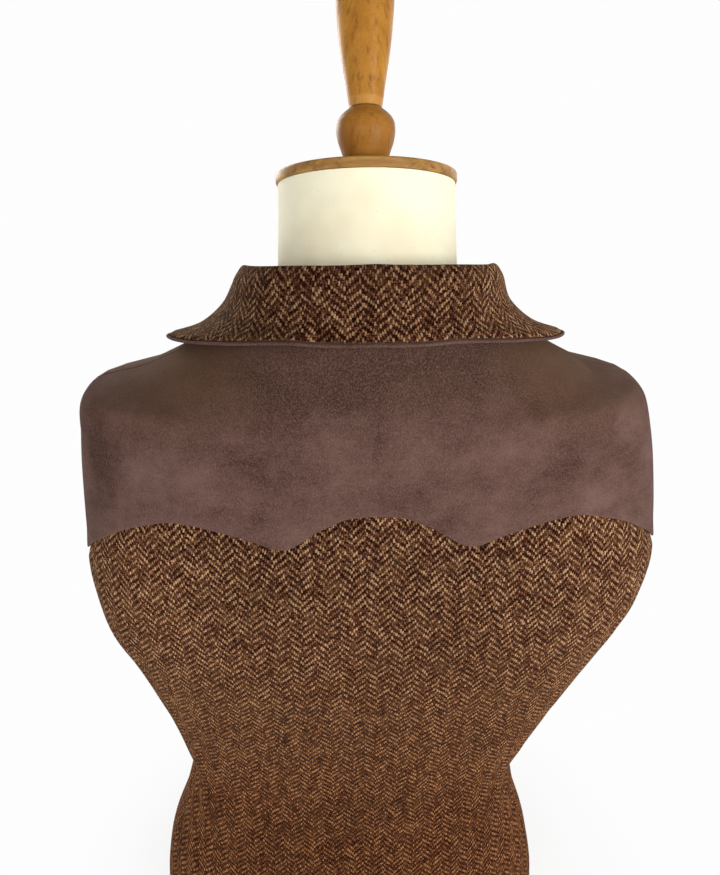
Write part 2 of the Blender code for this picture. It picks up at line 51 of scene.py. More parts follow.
SECTIONS = (
    (0.020, 0.1945, 0.100, 0.104, 2.30, 0.0195, 0.0250),
    (0.115, 0.1985, 0.100, 0.110, 2.30, 0.0200, 0.0230),
    (0.190, 0.1879, 0.093, 0.106, 2.30, 0.0215, 0.0180),
    (0.250, 0.1685, 0.086, 0.101, 2.30, 0.0200, 0.0110),
    (0.283, 0.1604, 0.083, 0.099, 2.30, 0.0187, 0.0080),
    (0.310, 0.1545, 0.083, 0.099, 2.30, 0.0168, 0.0060),
    (0.350, 0.1650, 0.085, 0.101, 2.35, 0.0122, 0.0080),
    (0.385, 0.1790, 0.089, 0.103, 2.40, 0.0086, 0.0110),
    (0.410, 0.1896, 0.093, 0.106, 2.45, 0.0072, 0.0130),
    (0.440, 0.2003, 0.098, 0.108, 2.50, 0.0056, 0.0150),
    (0.470, 0.2090, 0.104, 0.1110, 2.60, 0.0045, 0.0160),
    (0.500, 0.2203, 0.107, 0.1120, 2.66, 0.0042, 0.0170),
    (0.530, 0.2285, 0.109, 0.1118, 2.71, 0.0014, 0.0180),
    (0.560, 0.2319, 0.109, 0.1090, 2.75, 0.0000, 0.0165),
    (0.600, 0.2283, 0.106, 0.1020, 2.75, 0.0008, 0.0120),
    (0.640, 0.2236, 0.102, 0.0920, 2.65, 0.0022, 0.0080),
    (0.670, 0.2195, 0.098, 0.083, 2.50, 0.0036, 0.0050),
    (0.690, 0.2160, 0.095, 0.0770, 2.40, 0.0056, 0.0070),
    (0.702, 0.2070, 0.094, 0.0740, 2.35, 0.0062, 0.0080),
    (0.7065, 0.1910, 0.093, 0.0730, 2.32, 0.0062, 0.0068),
    (0.711, 0.1735, 0.093, 0.072, 2.30, 0.0058, 0.0046),
    (0.718, 0.1575, 0.092, 0.070, 2.30, 0.0050, 0.0022),
    (0.729, 0.1365, 0.091, 0.069, 2.30, 0.0040, 0.0015),
    (0.742, 0.1180, 0.089, 0.068, 2.30, AXIS_LEFT, 0.0018),
    (0.757, 0.1000, 0.086, 0.067, 2.30, AXIS_LEFT, 0.0040),
    (0.775, 0.0850, 0.079, 0.067, 2.25, AXIS_LEFT, 0.0110),
    (0.800, 0.0780, 0.074, 0.070, 2.20, AXIS_LEFT, 0.0140),
)
NECK_SEAM = (
    (0, 0.7800), (30, 0.7795), (60, 0.7780), (90, 0.7740),
    (120, 0.7500), (150, 0.7200), (176, 0.7020),
)
NECK_ROOM = 0.007
NECK_ROOM_RISE = 0.020
NECK_ROOT = Vector((AXIS_LEFT + 0.0011, AXIS_BACK + 0.004, 0.786))
NECK_TOP = Vector((AXIS_LEFT + 0.0011, AXIS_BACK - 0.020, 0.8424))
NECK_TILT = math.radians(17)
NECK_RINGS = ((0.0, 0.0655), (0.35, 0.0640), (0.7, 0.0634), (1.0, 0.0634))
BOARD_TOP = 0.020
TOUCH_GAP = 0.0003
TORSO_START = 0.060
TORSO_STEP = 0.0065
TORSO_TOP = 0.762
TORSO_SEGMENTS = 160
NECK_STEPS = 6
FOOT_STEPS = 4


def smooth_rule(xs, ys):
    """A curve through the points that never overshoots between them."""
    xs = np.asarray(xs, float)
    ys = np.asarray(ys, float)
    steps = np.diff(xs)
    slopes = np.diff(ys) / steps
    tangents = np.zeros(len(xs))
    tangents[0] = slopes[0]
    tangents[-1] = slopes[-1]
    for i in range(1, len(xs) - 1):
        if slopes[i - 1] * slopes[i] > 0:
            before = 2 * steps[i] + steps[i - 1]
            after = steps[i] + 2 * steps[i - 1]
            tangents[i] = (before + after) / (before / slopes[i - 1] + after / slopes[i])

    def rule(x):
        x = np.clip(np.asarray(x, float), xs[0], xs[-1])
        i = np.clip(np.searchsorted(xs, x) - 1, 0, len(xs) - 2)
        h = xs[i + 1] - xs[i]
        t = (x - xs[i]) / h
        return (ys[i] * (1 + 2 * t) * (1 - t) ** 2 + h * tangents[i] * t * (1 - t) ** 2
                + ys[i + 1] * t * t * (3 - 2 * t) - h * tangents[i + 1] * t * t * (1 - t))

    return rule


def rules_of(columns, rows):
    """One smooth rule for each named column, over the table's first column."""
    table = np.array(rows, float)
    return {name: smooth_rule(table[:, 0], table[:, k]) for k, name in enumerate(columns) if k}


SECTION = rules_of(SECTION_COLUMNS, SECTIONS)
NECK_SEAM_RULE = rules_of(("angle", "height"), NECK_SEAM)["height"]


def worn_radius(angle, height, inset=0.0):
    """How far the cloth's inner face lies from the upright axis, at an angle from centre back."""
    side = np.abs(np.sin(angle)) / (SECTION["half_width"](height) - inset)
    depth = np.where(np.cos(angle) > 0, SECTION["back"](height), SECTION["front"](height)) - inset
    along = np.abs(np.cos(angle)) / depth
    power = SECTION["squareness"](height)
    return (side ** power + along ** power) ** (-1 / power)


def on_ring(angle, radius, height):
    angle, radius, height = np.broadcast_arrays(angle, radius, height)
    sideways = radius * np.sin(angle) + SECTION["sway"](height)
    return np.stack([sideways, radius * np.cos(angle) + AXIS_BACK, height], axis=-1)


def worn_point(angle, height):
    return on_ring(angle, worn_radius(angle, height), height)


def worn_normal(angle, height):
    """The outward direction of the worn surface."""
    turn, rise = 1e-3, 1e-4
    round_it = worn_point(angle + turn, height) - worn_point(angle - turn, height)
    up_it = worn_point(angle, height + rise) - worn_point(angle, height - rise)
    normal = np.cross(up_it, round_it)
    return normal / np.linalg.norm(normal, axis=-1, keepdims=True)


def neck_seam_height(angle):
    return NECK_SEAM_RULE(np.degrees(np.minimum(np.abs(angle), math.pi)))


def torso_ring(angles, height):
    """A ring of the form, under the cloth by its ease and clear of the collar's stand."""
    past_seam = (height - neck_seam_height(angles)) / NECK_ROOM_RISE + 0.7
    inset = SECTION["ease"](height) + NECK_ROOM * np.clip(past_seam, 0, 1)
    return worn_point(angles, height) - worn_normal(angles, height) * inset[:, None]


def neck_ring(angles, share, radius):
    """A ring of the neck, from nearly level at its root (0) to tilted at its top (1)."""
    centre = NECK_ROOT.lerp(NECK_TOP, share)
    lean = np.array(Matrix.Rotation(NECK_TILT * (0.4 + 0.6 * share), 3, "X"))
    flat = np.stack([radius * np.sin(angles), radius * np.cos(angles), 0 * angles], axis=-1)
    return np.array(centre) + flat @ lean.T


def smooth_path(points, count_between):
    """A chordal Catmull-Rom curve through the points, with so many steps in each span."""
    points = np.asarray(points, float)
    padded = np.concatenate([[2 * points[0] - points[1]], points, [2 * points[-1] - points[-2]]])
    found = []
    for i, steps in enumerate(count_between):
        p0, p1, p2, p3 = padded[i:i + 4]
        d1, d2, d3 = (np.linalg.norm(b - a) for a, b in ((p0, p1), (p1, p2), (p2, p3)))
        start = (p1 - p0) / d1 - (p2 - p0) / (d1 + d2) + (p2 - p1) / d2
        end = (p2 - p1) / d2 - (p3 - p1) / (d2 + d3) + (p3 - p2) / d3
        for t in np.arange(steps) / steps:
            found.append(p1 * (1 + 2 * t) * (1 - t) ** 2 + start * d2 * t * (1 - t) ** 2
                         + p2 * t * t * (3 - 2 * t) - end * d2 * t * t * (1 - t))
    found.append(points[-1])
    return np.array(found)


class Wire:
    """One output in a material's nodes. Sums, products and comparisons of wires add Math nodes."""

    def __init__(self, socket):
        self.socket = socket

    def node(self, kind, settings=None, sockets=None, output=0):
        """Adds a node of a kind to this wire's tree: its settings first, then its sockets."""
        made = self.socket.id_data.nodes.new("ShaderNode" + kind)
        for name, value in (settings or {}).items():
            if name == "stops":
                ramp = made.color_ramp
                ramp.elements[0].position = value[0][0]
                ramp.elements[1].position = value[-1][0]
                for place, _ in value[1:-1]:
                    ramp.elements.new(place)
                for element, (_, colour) in zip(ramp.elements, value):
                    element.color = (*colour, 1)
            else:
                setattr(made, name, value)
        for name, value in (sockets or {}).items():
            if isinstance(value, Wire):
                made.id_data.links.new(value.socket, made.inputs[name])
            else:
                made.inputs[name].default_value = value
        return Wire(made.outputs[output])

    def maths(self, operation, *terms):
        return self.node("Math", {"operation": operation}, dict(enumerate(terms)))

    def __add__(self, other): return self.maths("ADD", self, other)
    def __radd__(self, other): return self.maths("ADD", other, self)
    def __sub__(self, other): return self.maths("SUBTRACT", self, other)
    def __rsub__(self, other): return self.maths("SUBTRACT", other, self)
    def __mul__(self, other): return self.maths("MULTIPLY", self, other)
    def __rmul__(self, other): return self.maths("MULTIPLY", other, self)
    def __truediv__(self, other): return self.maths("DIVIDE", self, other)
    def __mod__(self, other): return self.maths("FLOORED_MODULO", self, other)
    def __pow__(self, other): return self.maths("POWER", self, other)
    def __lt__(self, other): return self.maths("LESS_THAN", self, other)
    def __gt__(self, other): return self.maths("GREATER_THAN", self, other)
    def __abs__(self): return self.maths("ABSOLUTE", self)
    def floor(self): return self.maths("FLOOR", self)
    def sine(self): return self.maths("SINE", self)
    def lesser(self, other): return self.maths("MINIMUM", self, other)
    def root(self): return self.maths("SQRT", self.maths("MAXIMUM", self, 0.0))

    def ease(self, low, high, start=0.0, end=1.0):
        """Goes smoothly from start to end while this wire goes from low to high."""
        sockets = {"Value": self, "From Min": low, "From Max": high, "To Min": start, "To Max": end}
        return self.node("MapRange", {"interpolation_type": "SMOOTHSTEP"}, sockets)

    def pick(self, low, high):
        """Goes from one number or wire to another while this wire goes from 0 to 1."""
        return low + (high - low) * self

    def tint(self, low, high, how="MIX"):
        """Mixes two colours by this wire."""
        settings = {"data_type": "RGBA", "blend_type": how, "clamp_factor": True}
        low, high = (c if isinstance(c, Wire) else (*c, 1) for c in (low, high))
        return self.node("Mix", settings, {0: self, 6: low, 7: high}, 2)

    def ramp(self, stops):
        """The colour at this value, between stops of (value, colour)."""
        return self.node("ValToRGB", {"stops": stops}, {0: self})

    def parts(self):
        """The three numbers of a place."""
        split = self.node("SeparateXYZ", None, {0: self}).socket.node
        return [Wire(socket) for socket in split.outputs]

    def place(self, x, y, z):
        return self.node("CombineXYZ", None, {0: x, 1: y, 2: z})

    def mapped(self, scale=(1, 1, 1), turn=(0, 0, 0), move=(0, 0, 0)):
        sockets = {"Vector": self, "Scale": scale, "Rotation": turn, "Location": move}
        return self.node("Mapping", None, sockets)

    def cloud(self, scale, detail=2.0, roughness=0.5, distortion=0.0, output=0):
        """Noise at this place, from 0 to 1, or as a colour."""
        sockets = {"Vector": self, "Scale": scale, "Detail": detail, "Roughness": roughness,
                   "Distortion": distortion}
        return self.node("TexNoise", None, sockets, output)

    def chance(self):
        """A random number for each whole place."""
        return self.node("TexWhiteNoise", {"noise_dimensions": "3D"}, {"Vector": self}, "Value")

    def bump(self, depth, strength=1.0):
        """Relief of this height, as a normal."""
        return self.node("Bump", None, {"Height": self, "Distance": depth, "Strength": strength}, "Normal")


def new_finish(name, steady):
    """A material whose shader holds these steady values, and wires for its place and its cloth map."""
    material = bpy.data.materials.new(name)
    material.use_nodes = True
    tree = material.node_tree
    shader = tree.nodes["Principled BSDF"]
    for socket, value in steady.items():
        shader.inputs[socket].default_value = value
    source = tree.nodes.new("ShaderNodeTexCoord")
    return material, Wire(source.outputs["Object"]), Wire(source.outputs["UV"])


def feed(material, varied):
    """Joins wires to the sockets of a material's shader."""
    shader = material.node_tree.nodes["Principled BSDF"]
    for socket, wire in varied.items():
        material.node_tree.links.new(wire.socket, shader.inputs[socket])


def canvas_finish():
    """Cream cotton canvas: a fine plain weave, a little uneven and yellowed in patches."""
    material, place, cloth = new_finish("cream_canvas", {"Sheen Weight": 0.15, "Sheen Roughness": 0.5})
    thread = 0.00055
    across, along, _ = cloth.parts()
    warp = (across * (math.pi / thread)).sine()
    weft = (along * (math.pi / thread)).sine()
    weave = abs(warp * weft) ** 0.5
    slub = cloth.mapped(scale=(60, 900, 1)).cloud(1.0, 1.0)
    patches = place.cloud(14.0, 3.0, 0.6).ease(0.42, 0.72)
    specks = place.cloud(420.0, 1.0).ease(0.68, 0.80)
    cream = patches.tint((0.945, 0.890, 0.660), (0.860, 0.775, 0.545))
    cream = (specks * 0.25).tint(cream, (0.50, 0.40, 0.25))
    # Darker between the threads: painted shade in the gaps of the weave.
    cream = (weave.ease(0.0, 0.7, 0.22, 0.0)).tint(cream, (0.56, 0.48, 0.32))
    feed(material, {"Base Color": cream, "Roughness": patches.pick(0.82, 0.92),
                    "Normal": (weave * 0.7 + slub * 0.5).bump(0.00012)})
    return material


def mesh_piece(name, corners, faces, finish, uv=None):
    """A smooth closed piece from its corners and faces, turned the right way out."""
    mesh = bpy.data.meshes.new(name)
    mesh.from_pydata(np.asarray(corners).tolist(), [], faces)
    mesh.update()
    made = bmesh.new()
    made.from_mesh(mesh)
    if made.calc_volume(signed=True) < 0:
        bmesh.ops.reverse_faces(made, faces=made.faces)
    made.to_mesh(mesh)
    made.free()
    if uv is not None:
        loops = np.zeros(len(mesh.loops), int)
        mesh.loops.foreach_get("vertex_index", loops)
        layer = mesh.uv_layers.new(name="cloth")
        layer.data.foreach_set("uv", np.asarray(uv, float).reshape(-1, 2)[loops].ravel())
    mesh.shade_smooth()
    mesh.materials.append(finish)
    piece = bpy.data.objects.new(name, mesh)
    bpy.context.scene.collection.objects.link(piece)
    return piece


def ring_piece(name, rings, finish, sharp=40.0):
    """A closed piece through rings of points, capped at both ends, mapped round and up."""
    rings = np.asarray(rings)
    count, around = rings.shape[:2]
    faces = []
    for r in range(count - 1):
        here = r * around
        above = here + around
        for k in range(around):
            after = (k + 1) % around
            faces.append((here + k, here + after, above + after, above + k))
    faces.append(tuple(range(around - 1, -1, -1)))
    faces.append(tuple(range((count - 1) * around, count * around)))
    rise = np.linalg.norm(np.diff(rings, axis=0), axis=2).mean(axis=1)
    up = np.concatenate([[0], np.cumsum(rise)])
    turn = np.linspace(0, 1, around) * np.linalg.norm(rings[0] - np.roll(rings[0], 1, axis=0), axis=1).sum()
    uv = np.stack(np.broadcast_arrays(turn[None, :], up[:, None]), axis=-1)
    piece = mesh_piece(name, rings.reshape(-1, 3), faces, finish, uv)
    piece.data.set_sharp_from_angle(angle=math.radians(sharp))
    return piece


def build_torso():
    angles = np.linspace(-math.pi, math.pi, TORSO_SEGMENTS, endpoint=False)
    low_inset = float(SECTION["ease"](BOARD_TOP))
    rings = [on_ring(angles, worn_radius(angles, BOARD_TOP, low_inset), BOARD_TOP + TOUCH_GAP)]
    levels = np.arange(TORSO_START, TORSO_TOP - 0.5 * TORSO_STEP, TORSO_STEP)
    rings += [torso_ring(angles, z) for z in (*levels, TORSO_TOP)]
    rings += [neck_ring(angles, share, radius) for share, radius in NECK_RINGS]
    steps = [1] * (len(levels) + 1) + [NECK_STEPS] * len(NECK_RINGS)
    steps[0] = FOOT_STEPS
    columns = [smooth_path(column, steps) for column in np.swapaxes(np.array(rings), 0, 1)]
    return ring_piece("canvas_torso", np.swapaxes(np.array(columns), 0, 1), canvas_finish())


torso = build_torso()
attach(torso, "root")
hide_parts("form_torso")

# The form's turned and sawn wood: the base board, the cap on the neck and the finial above it.
# It is stained beech under a thin satin varnish, and the finial's stem and ball are one turning.
BOARD_EDGE = 0.004
CAP_RADIUS = 0.0648
CAP_THICKNESS = 0.0072
CAP_EDGE = 0.0015
WOOD_SEGMENTS = 96
BALL_HEIGHTS = (0.0112, 0.0440)
JOINT_HEIGHTS = (0.0445, 0.0475)
STEM_HEIGHTS = (0.0500, 0.1286)
CROWN_RISE = 0.0122
BALL_STAIN = (0.230, 0.085, 0.014)
STEM_FOOT = (0.560, 0.290, 0.085)
STEM_START = 0.0446
FINIAL = ((0.0112, 0.0156), (0.0125, 0.0164), (0.0170, 0.0180), (0.0237, 0.0202), (0.0300, 0.0211),
          (0.0345, 0.0208), (0.0385, 0.0190), (0.0420, 0.0155), (0.0440, 0.0129), (0.0449, 0.0119),
          (0.0458, 0.0116), (0.0475, 0.0120), (0.0600, 0.0139), (0.0746, 0.0163), (0.0890, 0.0184),
          (0.1036, 0.0198), (0.1196, 0.0208), (0.1286, 0.0202), (0.1356, 0.0168), (0.1391, 0.0105),
          (0.1408, 0.0))


def wood_finish(name, light, mid, dark, turn, joint=0.0):
    """Stained and varnished beech: grain along the turned Z, pores, and darker worn patches.

    Below a joint, measured up the turned surface, the wood is a ball with its turning marks.
    """
    steady = {"Coat Roughness": 0.34, "Coat IOR": 1.35, "Specular IOR Level": 0.08}
    material, place, surface = new_finish(name, steady)
    along = place.mapped(turn=turn)
    grain = along.mapped(scale=(300, 300, 6)).cloud(1.0, 4.0, 0.62, 0.3)
    bands = along.mapped(scale=(70, 70, 2.4)).cloud(1.0, 2.0, 0.5, 0.5)
    pores = along.mapped(scale=(1500, 1500, 14)).cloud(1.0, 1.0).ease(0.58, 0.70)
    rays = along.mapped(scale=(700, 700, 9)).cloud(1.0, 2.0).ease(0.55, 0.75)
    patches = place.cloud(26.0, 3.0, 0.55).ease(0.45, 0.70)
    colour = bands.ease(0.32, 0.68).tint(mid, light)
    colour = (grain.ease(0.48, 0.78) * 0.75).tint(colour, dark)
    colour = (pores * 0.30).tint(colour, dark)
    colour = (rays * 0.35).tint(colour, light)
    colour = (patches * 0.26).tint(colour, dark)
    if joint:
        up = surface.parts()[1]
        turning = surface.mapped(scale=(30, 2600, 1)).cloud(1.0, 2.0).ease(0.45, 0.70)
        colour = ((up < joint) * 0.42).tint(colour, BALL_STAIN)
        colour = ((up < joint) * turning * 0.30).tint(colour, dark)
        colour = (up.ease(joint + 0.0075, joint + 0.0055) * (up > joint) * 0.35).tint(colour, STEM_FOOT)
        colour = (abs(up - joint).ease(0.0010, 0.0003) * 0.75).tint(colour, dark)
    relief = grain * 0.6 - pores * 0.5
    feed(material, {"Base Color": colour, "Roughness": grain.pick(0.40, 0.52),
                    "Coat Weight": patches.pick(0.16, 0.06), "Normal": relief.bump(0.00006)})
    return material


def lathe_rings(profile, place):
    """Rings of a turned profile of (height, radius), set in its place."""
    turns = np.linspace(0, 2 * math.pi, WOOD_SEGMENTS, endpoint=False)
    rings = []
    for height, radius in profile:
        radius = max(radius, 1e-5)
        flat = np.stack([radius * np.cos(turns), radius * np.sin(turns), 0 * turns + height], axis=-1)
        rings.append(flat @ np.array(place.to_3x3()).T + np.array(place.translation))
    return rings


def rounded_edge(height, radius, size, start, end, steps=5):
    """A quarter round of a turned profile, about its own centre."""
    turns = np.radians(np.linspace(start, end, steps + 1))
    return [(height + size * math.sin(a), radius + size * math.cos(a)) for a in turns]


def build_board(finish):
    angles = np.linspace(-math.pi, math.pi, TORSO_SEGMENTS, endpoint=False)
    low_inset = float(SECTION["ease"](BOARD_TOP))
    rings = []
    for start, centre in ((-90, BOARD_EDGE), (0, BOARD_TOP - BOARD_EDGE)):
        for turn in np.radians(np.linspace(start, start + 90, 7)):
            inset = low_inset + BOARD_EDGE * (1 - math.cos(turn))
            height = centre + BOARD_EDGE * math.sin(turn)
            rings.append(on_ring(angles, worn_radius(angles, height, inset), height))
    return ring_piece("base_board", rings, finish, 60.0)


neck_top = Matrix.Translation(NECK_TOP) @ Matrix.Rotation(NECK_TILT, 4, "X")
cap_low = TOUCH_GAP + CAP_EDGE
cap_profile = [(TOUCH_GAP, 0.0), (TOUCH_GAP, CAP_RADIUS - 3 * CAP_EDGE)]
cap_profile += rounded_edge(cap_low, CAP_RADIUS - CAP_EDGE, CAP_EDGE, -90, 0)
cap_profile += rounded_edge(CAP_THICKNESS - CAP_EDGE, CAP_RADIUS - CAP_EDGE, CAP_EDGE, 0, 90)
cap_profile += [(CAP_THICKNESS, CAP_RADIUS - 4 * CAP_EDGE), (CAP_THICKNESS, 0.0)]
finial_foot = CAP_THICKNESS + TOUCH_GAP
finial_profile = [(0.0, 0.0), (0.0, 0.0178), (0.0003, 0.0184), (0.0010, 0.0187), (0.0090, 0.0187),
                  (0.0098, 0.0185), (0.0102, 0.0179), (0.0106, 0.0166), (0.0109, 0.0162)]
finial_radius = smooth_rule([z for z, _ in FINIAL], [r for _, r in FINIAL])
finial_heights = np.concatenate([
    np.linspace(*BALL_HEIGHTS, 28),
    np.linspace(*JOINT_HEIGHTS, 6),
    np.linspace(*STEM_HEIGHTS, 26),
    STEM_HEIGHTS[1] + CROWN_RISE * np.sin(np.linspace(0.1, 1.5708, 12)),
])
finial_profile += [(z, float(finial_radius(z))) for z in finial_heights]
turned_steps = np.hypot(*np.diff(np.array(finial_profile), axis=0).T)
ball_end = float(turned_steps[:sum(z < STEM_START for z, _ in finial_profile)].sum())
finial_profile = [(z + finial_foot, r) for z, r in finial_profile]

level_grain = (0, math.radians(90), 0)
upright_grain = (NECK_TILT, 0, 0)
board_wood = wood_finish("board_beech", (0.46, 0.235, 0.085), (0.33, 0.150, 0.045),
                         (0.16, 0.065, 0.020), level_grain)
cap_wood = wood_finish("cap_beech", (0.54, 0.305, 0.092), (0.27, 0.135, 0.036),
                       (0.060, 0.024, 0.007), level_grain)
finial_wood = wood_finish("finial_beech", (0.47, 0.215, 0.030), (0.350, 0.145, 0.018),
                          (0.115, 0.036, 0.004), upright_grain, ball_end)
board = build_board(board_wood)
cap = ring_piece("neck_cap", lathe_rings(cap_profile, neck_top), cap_wood, 50.0)
finial = ring_piece("turned_finial", lathe_rings(finial_profile, neck_top), finial_wood, 50.0)
for piece, node in ((board, "form_board"), (cap, "form_cap"), (finial, "form_finial")):
    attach(piece, "root")
    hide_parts(node)

# The tweed back: one piece of herringbone wool from the hem to the yoke, woven tan on dark red-brown.
# It is cut with its stripes upright and drapes over the back, with soft folds at the waist and sides.
HEM_HEIGHT = 0.115
UNDERARM_HEIGHT = 0.470
SHOULDER_TIP_HEIGHT = 0.702
TWEED = 0.0024
SUEDE = 0.0022
SEAM_GAP = 0.0003
SEAM_COLUMNS = ("height", "angle")
SIDE_SEAM = ((HEM_HEIGHT, 83.0), (0.300, 82.0), (UNDERARM_HEIGHT, 85.0))
SHOULDER_SEAM = ((SHOULDER_TIP_HEIGHT, 92.0), (0.719, 90.5), (0.742, 87.0), (0.790, 81.0))
ARMHOLE_COLUMNS = ("height", "back_edge", "front_edge")
ARMHOLE = (
    (UNDERARM_HEIGHT, 85.0, 85.0),
    (0.473, 84.0, 89.0),
    (0.480, 82.5, 94.0),
    (0.495, 81.0, 100.0),
    (0.520, 79.5, 106.0),
    (0.560, 79.0, 111.0),
    (0.600, 79.0, 112.0),
    (0.640, 81.0, 108.0),
    (0.675, 86.0, 100.0),
    (SHOULDER_TIP_HEIGHT, 92.0, 92.0),
)
YOKE_SEAM_COLUMNS = ("across", "height")
BACK_SEAM = (
    (0.00, 0.6425), (0.12, 0.6410), (0.26, 0.6320), (0.42, 0.6170),
    (0.54, 0.6250), (0.71, 0.6330), (0.82, 0.6230), (0.92, 0.6030), (1.00, 0.5820),
)
# Large folds: the angle and height of each, its slant, lift, width and length
FOLDS = (
    (74.0, 0.330, 137.0, 0.0050, 9.0, 0.070),
    (56.0, 0.300, 75.0, 0.0028, 8.0, 0.080),
    (28.0, 0.330, 25.0, 0.0022, 8.0, 0.090),
    (70.0, 0.520, -100.0, 0.0030, 8.0, 0.060),
    (112.0, 0.330, -75.0, 0.0035, 9.0, 0.080),
    (140.0, 0.290, -37.0, 0.0025, 8.0, 0.090),
)
# Soft creases: where each lies round and up, its direction, length, width, depth and bend
BACK_CREASES = (
    (-0.118, 0.392, 62, 0.060, 0.0075, -0.0009, 3.0),
    (-0.096, 0.345, 48, 0.048, 0.0060, 0.0008, -4.0),
    (-0.140, 0.455, 74, 0.055, 0.0085, -0.0007, 2.0),
    (0.104, 0.372, 120, 0.055, 0.0070, -0.0010, -3.0),
    (0.132, 0.430, 108, 0.060, 0.0080, 0.0008, 2.0),
    (0.066, 0.320, 135, 0.045, 0.0065, -0.0007, 4.0),
    (-0.030, 0.300, 20, 0.050, 0.0080, 0.0007, 3.0),
    (0.022, 0.276, 168, 0.060, 0.0075, -0.0008, -2.5),
    (-0.060, 0.262, 12, 0.055, 0.0070, -0.0007, 2.0),
    (-0.150, 0.540, 80, 0.040, 0.0080, 0.0006, 0.0),
    (0.158, 0.545, 98, 0.042, 0.0080, 0.0006, 0.0),
    (-0.020, 0.215, 88, 0.060, 0.0120, 0.0008, 0.0),
    (0.085, 0.190, 84, 0.058, 0.0130, -0.0009, 1.0),
    (-0.105, 0.185, 96, 0.062, 0.0120, -0.0008, -1.0),
)
YARN = 0.00155
PICK = 0.00146
STRIPE_YARNS = 6
TWEED_DIP = 0.0019
BACK_ACROSS = 150
BACK_RISE = 170
TURNED_EDGE = 0.0095
TURNED_LIFT = 0.0004
ARMHOLE_FADE = 0.010
HEM_REACH = 0.028
DIP_REACH = 0.009
PANEL_GUESS = 0.7
PANEL_ROUNDS = 60
# The cloth map's heights lie above this on the panels, and below it on the collar
COLLAR_MAP_TOP = 0.06

SIDE_SEAM_RULE = rules_of(SEAM_COLUMNS, SIDE_SEAM)["angle"]
SHOULDER_SEAM_RULE = rules_of(SEAM_COLUMNS, SHOULDER_SEAM)["angle"]
ARMHOLE_RULE = rules_of(ARMHOLE_COLUMNS, ARMHOLE)
BACK_SEAM_RULE = rules_of(YOKE_SEAM_COLUMNS, BACK_SEAM)["height"]


# The tones of the wool, from the shade between yarns to the lightest floats
TWEED_TONES = (
    (0.00, (0.006, 0.0012, 0.0008)),
    (0.20, (0.018, 0.0042, 0.0024)),
    (0.36, (0.042, 0.0130, 0.0070)),
    (0.50, (0.082, 0.0320, 0.0165)),
    (0.65, (0.158, 0.0740, 0.0380)),
    (0.80, (0.265, 0.1480, 0.0740)),
    (1.00, (0.400, 0.2550, 0.1380)),
)


def tweed_finish():
    """Herringbone: a twill of two up and two down, which turns back every six yarns."""
    steady = {"Roughness": 0.95, "Sheen Weight": 0.11, "Sheen Roughness": 0.35,
              "Sheen Tint": (0.95, 0.60, 0.30, 1), "Specular IOR Level": 0.03}
    material, place, cloth = new_finish("herringbone_tweed", steady)
    drift = cloth.cloud(95.0, 3.0, 0.62, output="Color")
    drift_u, drift_v, _ = drift.parts()
    across, along, _ = cloth.parts()
    u = across / YARN + (drift_u - 0.5) * 1.9
    v = along / PICK + (drift_v - 0.5) * 2.1
    end, pick = u.floor(), v.floor()
    in_end, in_pick = u - end, v - pick
    column = end % (2 * STRIPE_YARNS)
    back_turn = column > (STRIPE_YARNS - 0.5)
    step = column.lesser(2 * STRIPE_YARNS - 1 - column)
    stage_at = (pick - step + back_turn * 2) % 4
    warp_up = stage_at < 1.5
    warp_run = (stage_at + in_pick) / 2
    rising_run = ((3 - stage_at) + in_end) / 2
    falling_run = ((stage_at - 2) + in_end) / 2
    weft_run = back_turn.pick(rising_run, falling_run)
    warp_round = 1 - abs(in_end * 2 - 1) ** 2
    weft_round = 1 - abs(in_pick * 2 - 1) ** 2
    warp_arch = 1 - abs(warp_run * 2 - 1) ** 3
    weft_arch = 1 - abs(weft_run * 2 - 1) ** 3
    warp_height = (warp_round * warp_arch).root()
    weft_height = (weft_round * weft_arch).root() * 0.85
    height = warp_up.pick(weft_height, warp_height)

    warp_luck = cloth.place(end, ((pick - step + back_turn * 2) / 4).floor(), 3.0).chance()
    weft_luck = cloth.place((end / 2).floor(), pick, 9.0).chance()
    luck = warp_up.pick(weft_luck, warp_luck)
    speck = cloth.mapped(scale=(1.3, 0.8, 1)).cloud(780.0, 2.0, 0.75)
    fibre = cloth.mapped(scale=(1, 0.35, 1)).cloud(5200.0, 3.0, 0.7)
    heather = cloth.mapped(scale=(1.0, 0.6, 1)).cloud(130.0, 2.0, 0.6)
    tone = warp_up * 0.33 + luck * 0.40 + speck * 1.45 + height * 0.38 + fibre * 0.2 + heather * 0.5 - 1.235
    colour = tone.ramp(TWEED_TONES)
    golden = cloth.cloud(48.0)
    colour = (golden.ease(0.52, 0.72) * 0.16).tint(colour, (0.150, 0.085, 0.030))
    # Low on the panels the tweed is multiplied darker and redder: painted shade towards the hem. The collar
    # takes a little of the same tint all over.
    redder = (along > COLLAR_MAP_TOP).pick(0.15, 0.90)
    colour = (along.ease(0.26, 0.66, 1.0, 0.0) * redder).tint(colour, (1.0, 0.72, 0.52), "MULTIPLY")
    # Past 0.08 to 0.19 m round from the centre back, the tweed is painted up to a third lighter over a slow
    # random tone: a painted sheen on the sides. On the collar one end is painted lighter still: painted
    # light where it lies in shade.
    broad = place.cloud(9.0, 2.0).ease(0.35, 0.65, 0.92, 1.08) * abs(across).ease(0.08, 0.19, 1.0, 1.36)
    broad = broad * ((along < COLLAR_MAP_TOP) * across.ease(0.05, 0.13) * 0.42 + 1)
    # The panels are also made darker towards the hem: painted shade. The collar is darkened a little all
    # over.
    shade = colour.node("Mix", {"data_type": "RGBA", "blend_type": "MULTIPLY"},
                        {0: 1.0, 6: colour, 7: broad * along.ease(0.25, 0.58, 0.86, 1.01)}, 2)
    relief = height + fibre * 0.25 + speck * 0.6
    feed(material, {"Base Color": shade, "Normal": relief.bump(0.00045)})
    return material


